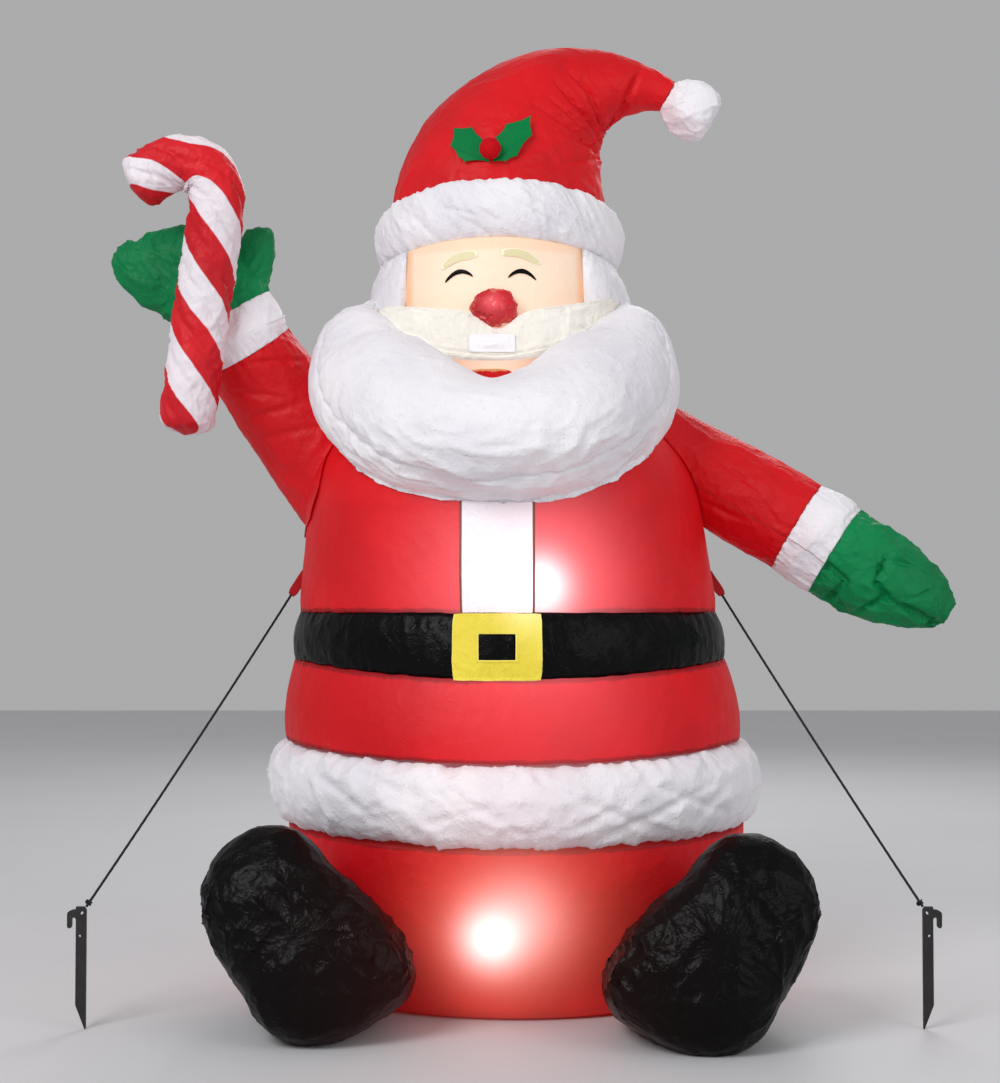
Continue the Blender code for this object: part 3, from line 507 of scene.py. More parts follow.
class Nodes:
    """Short ways to add shader nodes to one material; dyed is the colour of its cloth with the painted
    shade in its folds.
    """

    def __init__(self, name: str) -> None:
        """Start a material with its shader and its Object coordinates."""
        self.material = bpy.data.materials.new(name)
        self.material.use_nodes = True
        self.tree = self.material.node_tree
        self.shader = self.tree.nodes["Principled BSDF"]
        self.place = self.tree.nodes.new("ShaderNodeTexCoord").outputs["Object"]
        self.dyed: object = None

    def set(self, socket: bpy.types.NodeSocket, value: object) -> None:
        """Link an output to an input, or give the input a value."""
        if isinstance(value, bpy.types.NodeSocket):
            self.tree.links.new(value, socket)
        else:
            socket.default_value = value

    def finish(self, socket: str, value: object) -> None:
        """Link or set one input of the shader."""
        self.set(self.shader.inputs[socket], value)

    def maths(self, operation: str, first: object, second: object = 0.0, third: object = 0.0) -> object:
        """A Math node."""
        node = self.tree.nodes.new("ShaderNodeMath")
        node.operation = operation
        for socket, value in zip(node.inputs, (first, second, third)):
            self.set(socket, value)
        return node.outputs[0]

    def vector(self, operation: str, first: object, second: object = (0.0, 0.0, 0.0)) -> object:
        """A Vector Math node; SCALE takes its second value as the scale."""
        node = self.tree.nodes.new("ShaderNodeVectorMath")
        node.operation = operation
        self.set(node.inputs[0], first)
        self.set(node.inputs["Scale"] if operation == "SCALE" else node.inputs[1], second)
        return node.outputs["Value"] if operation in ("DISTANCE", "LENGTH") else node.outputs["Vector"]

    def noise(self, scale: float, detail: float = 3.0, bend: float = 0.0, ridged: bool = False) -> object:
        """A Noise texture on Object coordinates, its value in 0 to 1."""
        node = self.tree.nodes.new("ShaderNodeTexNoise")
        node.noise_type = "RIDGED_MULTIFRACTAL" if ridged else "FBM"
        self.set(node.inputs["Vector"], self.place)
        self.set(node.inputs["Scale"], scale)
        self.set(node.inputs["Detail"], detail)
        self.set(node.inputs["Distortion"], bend)
        return node.outputs[0]

    def facets(self, scale: float) -> object:
        """Crumpled cells with straight ridges between them: distance to the nearest scattered point."""
        node = self.tree.nodes.new("ShaderNodeTexVoronoi")
        node.feature = "F1"
        bend = self.maths("MULTIPLY", self.noise(scale * 0.6, 0), 0.8 / scale)
        self.set(node.inputs["Vector"], self.vector("ADD", self.place, bend))
        self.set(node.inputs["Scale"], scale)
        return node.outputs["Distance"]

    def blend(self, share: object, first: object, second: object) -> object:
        """Mix two colours by a share."""
        node = self.tree.nodes.new("ShaderNodeMix")
        node.data_type = "RGBA"
        self.set(node.inputs[0], share)
        self.set(node.inputs[6], first)
        self.set(node.inputs[7], second)
        return node.outputs[2]

    def reach(self, value: object, low: float, high: float) -> object:
        """Map a value to 0 at low and 1 at high, eased and held outside."""
        node = self.tree.nodes.new("ShaderNodeMapRange")
        node.interpolation_type = "SMOOTHSTEP"
        self.set(node.inputs["Value"], value)
        self.set(node.inputs["From Min"], low)
        self.set(node.inputs["From Max"], high)
        return node.outputs[0]

    def away(self, value: object, middle: object) -> object:
        """How far a value is from another one."""
        return self.maths("ABSOLUTE", self.maths("SUBTRACT", value, middle))

    def near(self, value: object, middle: object, inner: float, outer: float) -> object:
        """1 where a value is within inner of another one, eased to 0 at outer."""
        return self.maths("SUBTRACT", 1.0, self.reach(self.away(value, middle), inner, outer))

    def tint(self, share: object, colour: Rgb, strength: float = 1.0) -> None:
        """Lay a colour over the plain cloth, by a share times a strength."""
        amount = self.maths("MULTIPLY", share, strength)
        self.finish("Base Color", self.blend(amount, self.dyed, tone(*colour)))

    def part(self, vector: object, axis: str) -> object:
        """One axis of a vector."""
        node = self.tree.nodes.new("ShaderNodeSeparateXYZ")
        self.set(node.inputs[0], vector)
        return node.outputs[axis]

    def uv(self, axis: str) -> object:
        """Turn round the piece, as X, or metres along it, as Y."""
        node = self.tree.nodes.new("ShaderNodeUVMap")
        node.uv_map = "turn_and_metres"
        return self.part(node.outputs[0], axis)

    def bump(self, height: object, depth: float, strength: float, under: object = None) -> object:
        """A Bump node over another one; depth is in metres."""
        node = self.tree.nodes.new("ShaderNodeBump")
        self.set(node.inputs["Height"], height)
        self.set(node.inputs["Distance"], depth)
        self.set(node.inputs["Strength"], strength)
        if under is not None:
            self.set(node.inputs["Normal"], under)
        return node.outputs[0]


@dataclass(frozen=True)
class Glow:
    """A place where light comes through the skin: a coloured halo, in some round a white core.

    Attributes:
        place: its middle.
        colour: of the halo.
        halo_radius: where the halo has fallen to 1 / e, in metres.
        halo: strength of the halo.
        core_radius: where the core has fallen to 1 / e, in metres.
        core: strength of the core.
    """

    place: Place
    colour: Rgb
    halo_radius: float
    halo: float
    core_radius: float = 0.0
    core: float = 0.0


# Spacings of the cloth's patterns, in cells to a metre; the last two are times the folds' own.
WEAVE_SCALE = 900
DYE_SCALE = 7
GLOSS_SCALE = 18
FINE_TIMES = 4.5
FACET_TIMES = 1.1


@dataclass(frozen=True)
class Nylon:
    """Thin crinkled nylon, dyed in one colour, with light that comes through it in places.

    Attributes:
        name: of the material.
        colour: of the cloth.
        shade: of its darker patches, and of the painted shade in its folds.
        roughness: of the surface.
        fold_scale: folds to a metre.
        fold_depth: depth of a fold, in metres.
        fold_strength: how much of that depth shows.
        grain: how much of the weave shows.
        shine: strength of its reflections.
        inner: even light that comes through, as a share of the colour.
        glows: the brighter places.
    """

    name: str
    colour: Rgb
    shade: Rgb
    roughness: float = 0.55
    fold_scale: float = 34.0
    fold_depth: float = 0.0030
    fold_strength: float = 0.35
    grain: float = 0.15
    shine: float = 0.25
    inner: float = 0.0
    glows: tuple[Glow, ...] = ()

    def nodes(self) -> Nodes:
        """The material's nodes, before anything special to one piece is added."""
        made = Nodes(self.name)
        folds = made.noise(self.fold_scale, 3, 1.2, ridged=True)
        fine = made.noise(self.fold_scale * FINE_TIMES, 1, 0.8, ridged=True)
        weave = made.noise(WEAVE_SCALE, 0)
        cloudy = made.reach(made.noise(DYE_SCALE, 2), 0.3, 0.7)
        dyed = made.blend(cloudy, tone(*self.colour), tone(*self.shade))
        # Painted shade: the ridges of the folds are darkened towards the shade colour.
        crease_shade = made.maths("MULTIPLY", made.reach(folds, 0.55, 0.9), 0.35)
        made.dyed = made.blend(crease_shade, dyed, tone(*self.shade))
        made.finish("Base Color", made.dyed)
        normal = made.bump(folds, self.fold_depth, self.fold_strength * 0.6)
        normal = made.bump(fine, self.fold_depth / 2, self.fold_strength, normal)
        scale = self.fold_scale * FACET_TIMES
        normal = made.bump(made.facets(scale), 0.34 / scale, self.fold_strength * 0.35, normal)
        made.finish("Normal", made.bump(weave, 0.0004, self.grain, normal))
        rough = made.maths("MULTIPLY_ADD", made.noise(GLOSS_SCALE, 3), 0.16, self.roughness - 0.08)
        made.finish("Roughness", rough)
        made.finish("Specular IOR Level", self.shine)
        self.light_up(made)
        return made

    def light_up(self, made: Nodes) -> None:
        """Sum each glow's strength * exp(-(distance / radius) squared) and the cloth's even light."""
        total = made.vector("SCALE", made.dyed, self.inner)
        for glow in self.glows:
            lights = [(glow.halo_radius, glow.halo, tone(*glow.colour)[:3])]
            if glow.core:
                lights.append((glow.core_radius, glow.core, (1.0, 1.0, 1.0)))
            away = made.vector("DISTANCE", made.place, glow.place)
            for radius, strength, light in lights:
                share = made.maths("DIVIDE", away, radius)
                square = made.maths("MULTIPLY", share, share)
                fall = made.maths("EXPONENT", made.maths("MULTIPLY", square, -1.0))
                colour = tuple(strength * part for part in light)
                total = made.vector("ADD", total, made.vector("SCALE", colour, fall))
        if self.inner or self.glows:
            made.finish("Emission Color", total)
            made.finish("Emission Strength", 1.0)

    def material(self) -> bpy.types.Material:
        """The finished material."""
        return self.nodes().material


def dress(
    piece: bpy.types.Object, material: bpy.types.Material, for_node: bool = True
) -> bpy.types.Object:
    """Give a piece its material, put it on the body and let it stand for the CAD node of its name.

    Args:
        piece: the finished piece.
        material: its finish.
        for_node: false for a piece that stands for no CAD node.

    Returns:
        The piece.
    """
    piece.data.materials.clear()
    piece.data.materials.append(material)
    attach(piece, BODY)
    if for_node:
        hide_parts(piece.name.removeprefix(SEWN))
    log.info("%s: %d faces", piece.name, len(piece.data.polygons))
    return piece


def air_filled(piece: bpy.types.Object) -> bpy.types.Object:
    """Return a piece unchanged."""
    return piece


@dataclass(frozen=True)
class Levels:
    """Heights of the seams round the figure, read from the frame."""

    hem: float
    skirt: float
    belt: float
    chest: float
    neck: float
    band: float
    hat: float

    @classmethod
    def from_frame(cls) -> "Levels":
        """The top of each slice of the trunk, the head and the hat's band."""
        slices = ("seat", "hem_trim", "coat_skirt", "belt", "coat_chest", "face", "hat_band")
        return cls(*(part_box(name)[1].z for name in slices))

    @property
    def seams(self) -> tuple[float, ...]:
        """Heights of the coat's sewn seams."""
        return self.hem, self.skirt, self.belt, self.chest


def bow_over_brow(points: Array, levels: Levels, sink: float = 0.009, rise: float = 0.018) -> Array:
    """Pull the hat's rim down over the ears and up over the brow.

    The height changes by rise * (forward share)^2 - sink. The change fades in over the top of the
    face and fades out over the foot of the hat.

    Args:
        points: places on the head or the hat.
        levels: heights of the seams.
        sink: how far the sides come down, in metres.
        rise: how far the front goes up from there, in metres.

    Returns:
        The moved places.
    """
    z = points[..., 2]
    heights = (levels.band - 0.050, levels.band - 0.005, levels.hat + 0.005, levels.hat + 0.075)
    fade = np.interp(z, heights, (0, 1, 1, 0))
    forward = np.clip(-points[..., 1] / HEAD_RADIUS, 0, 1.05)
    moved = points.copy()
    moved[..., 2] += fade * (rise * forward**2 - sink)
    return moved


CHEST_CORE = Glow((0.0245, -0.262, 0.502), (255, 165, 172), 0.085, 0.52, 0.031, 1.40)
CHEST_HALO = Glow((-0.0200, -0.262, 0.515), (255, 130, 140), 0.120, 0.26)
SKIRT_HALO = Glow((0.0350, -0.290, 0.350), (255, 120, 130), 0.110, 0.16)
SEAT_CORE = Glow((-0.0330, -0.290, 0.096), (255, 190, 165), 0.060, 0.25, 0.032, 1.1)
SEAT_HALO = Glow((-0.0010, -0.290, 0.120), (255, 140, 112), 0.095, 0.40, 0.048, 0.38)
TRIM_HALO = Glow((-0.0250, -0.315, 0.222), (255, 150, 130), 0.110, 0.10)
CHIN_HALO = Glow((-0.0300, -0.150, 0.762), (255, 212, 192), 0.052, 0.36)
FACE_HALO = Glow((-0.0300, -0.160, 0.830), (255, 225, 205), 0.090, 0.12, 0.060, 0.05)
BOOT_HALO = Glow((-0.0330, -0.290, 0.096), (255, 60, 50), 0.150, 0.035)
BUCKLE_HALO = Glow((0.010, -0.270, 0.480), (255, 255, 200), 0.045, 0.10, 0.026, 0.25)


class Finish(Enum):
    """The finishes, each with its slot."""

    RED = (Slot.RED, Nylon("red_sewn_nylon", (205, 8, 20), (184, 5, 17), inner=0.17, fold_strength=0.5))
    COAT = (
        Slot.RED,
        Nylon(
            "red_coat_nylon",
            (205, 8, 20),
            (188, 5, 17),
            inner=0.17,
            fold_strength=0.3,
            glows=(CHEST_CORE, CHEST_HALO, SKIRT_HALO, SEAT_CORE, SEAT_HALO),
        ),
    )
    WHITE = (
        Slot.WHITE,
        Nylon(
            "white_sewn_nylon",
            (236, 233, 237),
            (220, 217, 224),
            fold_scale=48,
            fold_strength=0.62,
            inner=0.08,
            glows=(TRIM_HALO,),
        ),
    )
    GREEN = (
        Slot.GREEN,
        Nylon("green_sewn_nylon", (0, 134, 76), (0, 108, 60), fold_strength=0.7, inner=0.10, shine=0.2),
    )
    BLACK = (
        Slot.BLACK,
        Nylon(
            "black_sewn_nylon",
            (5, 5, 6),
            (3, 4, 4),
            roughness=0.36,
            fold_scale=36,
            fold_strength=0.6,
            shine=0.10,
            glows=(BOOT_HALO,),
        ),
    )

    @property
    def slot(self) -> Slot:
        """The slot of the finish."""
        return self.value[0]

    @property
    def nylon(self) -> Nylon:
        """The nylon of the finish."""
        return self.value[1]


class Wardrobe:
    """Makes each shared material once."""

    def __init__(self, levels: Levels) -> None:
        """Start with no materials; levels give the heights of the coat's seams."""
        self.made: dict[Finish, bpy.types.Material] = {}
        self.levels = levels

    def material(self, finish: Finish) -> bpy.types.Material:
        """The material of a shared finish."""
        if finish not in self.made:
            nodes = finish.nylon.nodes()
            if finish is Finish.COAT:
                self.darken_seams(nodes)
            self.made[finish] = nodes.material
        return self.made[finish]

    def darken_seams(self, nodes: Nodes) -> None:
        """Paint shade on the coat as an uneven dark red strip along its seams with the belt and the trim.
        """
        level = nodes.maths("MULTIPLY_ADD", nodes.noise(40, 3), 0.006, nodes.uv("Y"))
        share = 0.0
        for seam in self.levels.seams:
            share = nodes.maths("MAXIMUM", share, nodes.near(level, seam + 0.003, 0.0034, 0.0066))
        # Painted shade: dark red along each seam.
        nodes.tint(share, (96, 0, 8), 0.75)

    def dress(self, piece: bpy.types.Object, finish: Finish) -> bpy.types.Object:
        """Dress a piece in a shared finish."""
        return dress(piece, self.material(finish))

    def puffed(self, skin: Skin, name: str, finish: Finish) -> None:
        """Build a piece that is full of air and dress it in a shared finish."""
        self.dress(air_filled(skin.build(name)), finish)


@dataclass
class Trunk:
    """The trunk: seat, hem trim, skirt, belt and chest, with the placket and the buckle."""

    levels: Levels
    wardrobe: Wardrobe
    floor_radius: float = 0.263
    seat_radius: float = 0.2936
    belt_radius: float = 0.270
    chest_radius: float = 0.252
    neck_radius: float = 0.132
    shoulder_share: float = 0.46
    seat_edge: float = 0.018
    lean: float = -0.0382
    belt_dip: float = 0.021
    front_x: float = -0.0039
    placket_size: tuple[float, float] = (0.087, 0.165)
    placket_thickness: float = 0.0018
    buckle_size: tuple[float, float] = (0.1025, 0.0775)
    buckle_window: tuple[float, float] = (0.042, 0.030)
    puffs: tuple[tuple[float, float], ...] = ((0.004, 1), (0.024, 0.6), (0.004, 1), (0.004, 1), (0.003, 1))
    trim_folds: tuple[Fold, ...] = (
        ((-0.2536, 0.2872), (-0.1644, 0.2311), 0.004, 0.005),
        ((0.0259, 0.2788), (0.1450, 0.2253), 0.004, 0.005),
        ((0.0855, 0.2077), (0.2401, 0.2724), 0.005, 0.005),
        ((0.1450, 0.2783), (0.2521, 0.2311), 0.004, 0.005),
        ((-0.1049, 0.2311), (-0.0157, 0.2547), 0.003, 0.005),
        ((-0.2031, 0.2924), (-0.1120, 0.2585), 0.003, 0.005),
        ((0.0476, 0.2189), (0.1387, 0.2585), 0.003, 0.005),
        ((0.2071, 0.2246), (0.2584, 0.2698), 0.004, 0.005),
        ((-0.0778, 0.2698), (0.0134, 0.2133), 0.003, 0.005),
    )
    fold_room: float = 0.002
    slice_gap: float = 0.0002
    end_gap: float = 0.0003
    sides: int = 480
    row_step: float = 0.0036

    def drift(self, z: Array) -> Array:
        """How far the trunk's axis has leaned sideways at a height."""
        return self.lean * np.maximum(z - self.levels.hem, 0)

    def radius(self, z: Array) -> Array:
        """The smooth radius at a height: straight walls, then a quarter of an ellipse to the neck."""
        lv = self.levels
        shoulder = lv.chest + (lv.neck - lv.chest) * self.shoulder_share
        wall = np.interp(
            z,
            (0, lv.hem, lv.skirt, lv.chest, shoulder),
            (self.floor_radius, self.seat_radius, self.seat_radius, self.belt_radius, self.chest_radius),
        )
        rise = np.clip((z - shoulder) / (lv.neck - shoulder), 0, 1)
        slope = self.neck_radius + (self.chest_radius - self.neck_radius) * np.sqrt(1 - rise**2)
        return np.where(z > shoulder, slope, wall)

    def bulge(self, z: Array) -> Array:
        """How far each slice puffs out between its seams: depth * sin(share up the slice) ** power."""
        cuts = (0, *self.levels.seams, self.levels.neck)
        total = np.zeros(np.shape(z))
        for low, high, (depth, power) in zip(cuts, cuts[1:], self.puffs):
            share = np.clip((z - low) / (high - low), 0, 1)
            total = total + depth * np.sin(np.pi * share) ** power
        return total

    def dip(self, z: Array) -> Array:
        """How far a seam hangs down at the front and back."""
        return np.interp(z, (0, *self.levels.seams), (0, 0.3, 0.6, 1, 0)) * self.belt_dip

    def surface(self, turn: Array, z: Array, lift: Array | float = 0.0) -> Array:
        """Points on the coat at a turn and a height, with the pinches of the seams and faint folds.

        The radius is the smooth one, plus the bulge, less a pinch that fades away from each seam.

        Args:
            turn: angle from +X, towards +Y.
            z: height before the seams dip.
            lift: added to the radius.

        Returns:
            Points, xyz last.
        """
        turn, z = np.broadcast_arrays(turn, z)
        radius = self.radius(z)
        flat = np.stack([radius * np.cos(turn), radius * np.sin(turn), z], -1)
        folds = creases(flat, (0.016, 0.016, 0.09), 21, 2)
        wave = lattice_noise(flat / 0.022, 5)
        pinch, sway = 0.0, 0.0
        for seam in self.levels.seams:
            near = np.exp(-np.abs(z - seam) / 0.010)
            pinch = pinch + near * (0.0016 + 0.0030 * folds)
            sway = sway + np.exp(-np.abs(z - seam) / 0.020) * 0.0016 * wave
        soft = 0.0022 * lattice_noise(flat / 0.075, 9) + 0.0011 * (creases(flat, 0.055, 33, 3) - 0.3)
        low = np.clip(z / 0.05, 0, 1)
        radius = radius + self.bulge(z) + lift - pinch + soft * low
        forward = radius * np.sin(turn) / self.seat_radius
        return np.stack(
            [
                radius * np.cos(turn) + self.drift(z),
                radius * np.sin(turn),
                np.maximum(z + sway - self.dip(z) * forward**2, 0),
            ],
            -1,
        )

    def slice(self, low: float, high: float) -> Skin:
        """One band of the trunk between two heights."""
        rows = max(8, int((high - low) / self.row_step))
        z = np.linspace(low, high, rows)[:, None]
        turn = whole_turn(self.sides)[None]
        radius = self.radius(z)
        return Skin(self.surface(turn, z), stacked(radius * np.cos(turn), radius * np.sin(turn), z))

    def seat(self) -> None:
        """The seat, tucked in and rounded where it rests on the floor."""
        skin = self.slice(0.0, self.levels.hem - self.end_gap)
        z = skin.cloth[..., 2]
        tuck = self.seat_edge * (1 - np.sqrt(np.clip(1 - np.clip(1 - z / self.seat_edge, 0, 1) ** 2, 0, 1)))
        way = skin.points[..., :2] / np.linalg.norm(skin.points[..., :2], axis=-1, keepdims=True)
        skin.points[..., :2] -= way * tuck[..., None]
        self.wardrobe.puffed(skin, "seat", Finish.COAT)

    def bands(self) -> None:
        """The puffed white trim, the red skirt and the black belt."""
        lv, gap = self.levels, self.slice_gap
        trim = self.slice(lv.hem + gap, lv.skirt - gap)
        trim.crinkle((0.065, 0.065, 0.050), 0.0052, 51, layers=2)
        trim.press(self.trim_folds)
        for seam, seed in ((lv.hem, 61), (lv.skirt, 62)):
            trim.pucker(seam, 0.018, 0.024, 0.0032, seed)
        trim.points[..., 2] = np.clip(trim.points[..., 2], lv.hem - 0.012, None)
        self.wardrobe.puffed(trim, "hem_trim", Finish.WHITE)
        self.wardrobe.puffed(self.slice(lv.skirt + gap, lv.belt - gap), "coat_skirt", Finish.COAT)
        self.wardrobe.puffed(self.slice(lv.belt + gap, lv.chest - gap), "belt", Finish.BLACK)

    def chest(self) -> None:
        """The chest with its round shoulders."""
        skin = self.slice(self.levels.chest + self.slice_gap, self.levels.neck - self.end_gap)
        self.wardrobe.puffed(skin, "coat_chest", Finish.COAT)

    def front_point(self, x: Array, z: Array, lift: Array) -> Array:
        """The coat's front at an x and a finished height, lifted off it by a distance."""
        level = z
        for _ in range(4):
            radius = self.radius(level)
            sine = np.sqrt(np.clip(1 - ((x - self.drift(level)) / radius) ** 2, 0, 1))
            level = z + self.dip(level) * (radius * sine / self.seat_radius) ** 2
        turn = -np.arccos(np.clip((x - self.drift(level)) / self.radius(level), -1, 1))
        points = self.surface(turn, level, lift)
        points[..., 2] = z
        return points

    def placket(self) -> None:
        """The white placket: a thin pad whose edges are sewn down to the coat."""
        width, length = self.placket_size
        middle = self.neck_x + self.front_x
        z = np.linspace(self.levels.chest + 0.0004, self.levels.chest + length, 90)
        turn = whole_turn(120)
        wide = signed_power(np.cos(turn), 0.35)
        front = np.sin(turn) < 0
        x = middle + width / 2 * wide[None] + 0 * z[:, None]
        edge = np.abs(np.sin(turn)) ** 0.5
        lift = np.where(front, 0.0008 + self.placket_thickness * edge, 0.0006)[None] + 0 * z[:, None]
        points = self.front_point(x, z[:, None] + 0 * x, lift)
        cloth = stacked(width / 2 * wide[None], 0.01 * edge[None], z[:, None])
        made = replace(Finish.WHITE.nylon, name="white_placket_nylon", glows=(CHEST_CORE,), inner=0.17)
        nodes = made.nodes()
        self.edge_line(nodes, (140, 84, 70), 0.22)
        dress(Skin(points, cloth).build("placket"), nodes.material)

    @staticmethod
    def edge_line(nodes: Nodes, colour: Rgb, width: float) -> None:
        """Darken the two side edges of a strip, where its turn is close to 0 and to a half."""
        half_turns = nodes.maths("FRACT", nodes.maths("MULTIPLY", nodes.uv("X"), 2.0))
        share = nodes.reach(nodes.away(half_turns, 0.5), 0.5 - width, 0.5 - 0.8 * width)
        nodes.tint(share, colour)
        nodes.finish("Emission Strength", nodes.maths("SUBTRACT", 1.0, share))

    @property
    def neck_x(self) -> float:
        """The trunk's axis at the neck."""
        return float(self.drift(np.array(self.levels.neck)))

    def buckle(self) -> None:
        """The yellow buckle: a flat frame sewn on the belt, with a piped edge inside and outside."""
        middle_x = self.neck_x + self.front_x
        middle_z = self.levels.chest - self.buckle_size[1] / 2 - 0.0006
        corner = whole_turn(240)
        c, s = np.cos(corner), np.sin(corner)
        reach = 1 / np.maximum(np.abs(c), np.abs(s))
        square = stacked(c * reach, s * reach)
        soft = 1 - 0.018 * bell(np.abs(np.abs(c) - np.abs(s)), 0.12)
        turn = whole_turn(48)
        share = 0.5 + 0.5 * signed_power(np.cos(turn), 0.6)
        inner = square * np.array(self.buckle_window) / 2
        outer = square * soft[:, None] * np.array(self.buckle_size) / 2
        flat = inner[:, None] + (outer - inner)[:, None] * share[None, :, None]
        wobble = 0.0011 * lattice_noise(np.dstack([flat / 0.02, 0 * flat[..., :1]]), 77)
        flat = flat * (1 + 14 * wobble[..., None])
        piping = bell(share - 0.06, 0.05) + bell(share - 0.95, 0.05)
        front = np.where(np.sin(turn) < 0, 0.0022 + 0.0010 * piping, 0.0008)
        lift = front[None] + 0 * corner[:, None]
        points = self.front_point(middle_x + flat[..., 0], middle_z + flat[..., 1], lift)
        cloth = np.dstack([flat, 0 * flat[..., :1] + corner[:, None, None] * 0.05])
        skin = Skin(points, cloth, looped=True)
        made = Nylon(
            "yellow_sewn_nylon",
            (232, 214, 72),
            (212, 190, 50),
            fold_strength=0.6,
            inner=0.14,
            glows=(BUCKLE_HALO,),
        )
        nodes = made.nodes()
        off = nodes.away(nodes.uv("X"), 0.5)
        back = nodes.maths("SUBTRACT", 0.5, off)
        rim = nodes.maths("ADD", nodes.reach(off, 0.40, 0.46), nodes.reach(back, 0.40, 0.46))
        nodes.tint(rim, (246, 232, 120))
        dress(skin.build("buckle"), nodes.material)

    def push_out(self, points: Array, gap: float) -> Array:
        """Move points that lie inside the trunk out to its wall, plus a gap."""
        z = points[..., 2]
        radius = np.where(z < self.levels.neck, self.radius(z) + self.bulge(z) + self.fold_room + gap, 0)
        return pushed_out(points, stacked(self.drift(z), 0), radius)

    def push_forward(self, points: Array, gap: float) -> Array:
        """Move points that lie inside the trunk straight forward out of it, plus a gap."""
        z = points[..., 2]
        radius = self.radius(z) + self.bulge(z) + self.fold_room + gap
        return pushed_forward(points, self.drift(z), radius, z < self.levels.neck)

    def build(self) -> None:
        """Build and dress the trunk's pieces."""
        self.seat()
        self.bands()
        self.chest()
        self.placket()
        self.buckle()


# Corners of the brows, in metres from the middle between the eyes at the brows' height.
BROW_CORNERS = {
    Side.LEFT: (
        (-0.0625, -0.0085),
        (-0.0566, 0.0004),
        (-0.0452, 0.0075),
        (-0.0305, 0.0112),
        (-0.0182, 0.0103),
        (-0.0164, 0.0037),
        (-0.0251, 0.0000),
        (-0.0390, -0.0018),
        (-0.0508, -0.0067),
        (-0.0598, -0.0112),
    ),
    Side.RIGHT: (
        (0.0132, 0.0114),
        (0.0262, 0.0139),
        (0.0410, 0.0119),
        (0.0530, 0.0059),
        (0.0620, -0.0031),
        (0.0588, -0.0061),
        (0.0490, -0.0026),
        (0.0380, 0.0014),
        (0.0240, 0.0034),
        (0.0120, 0.0044),
    ),
}


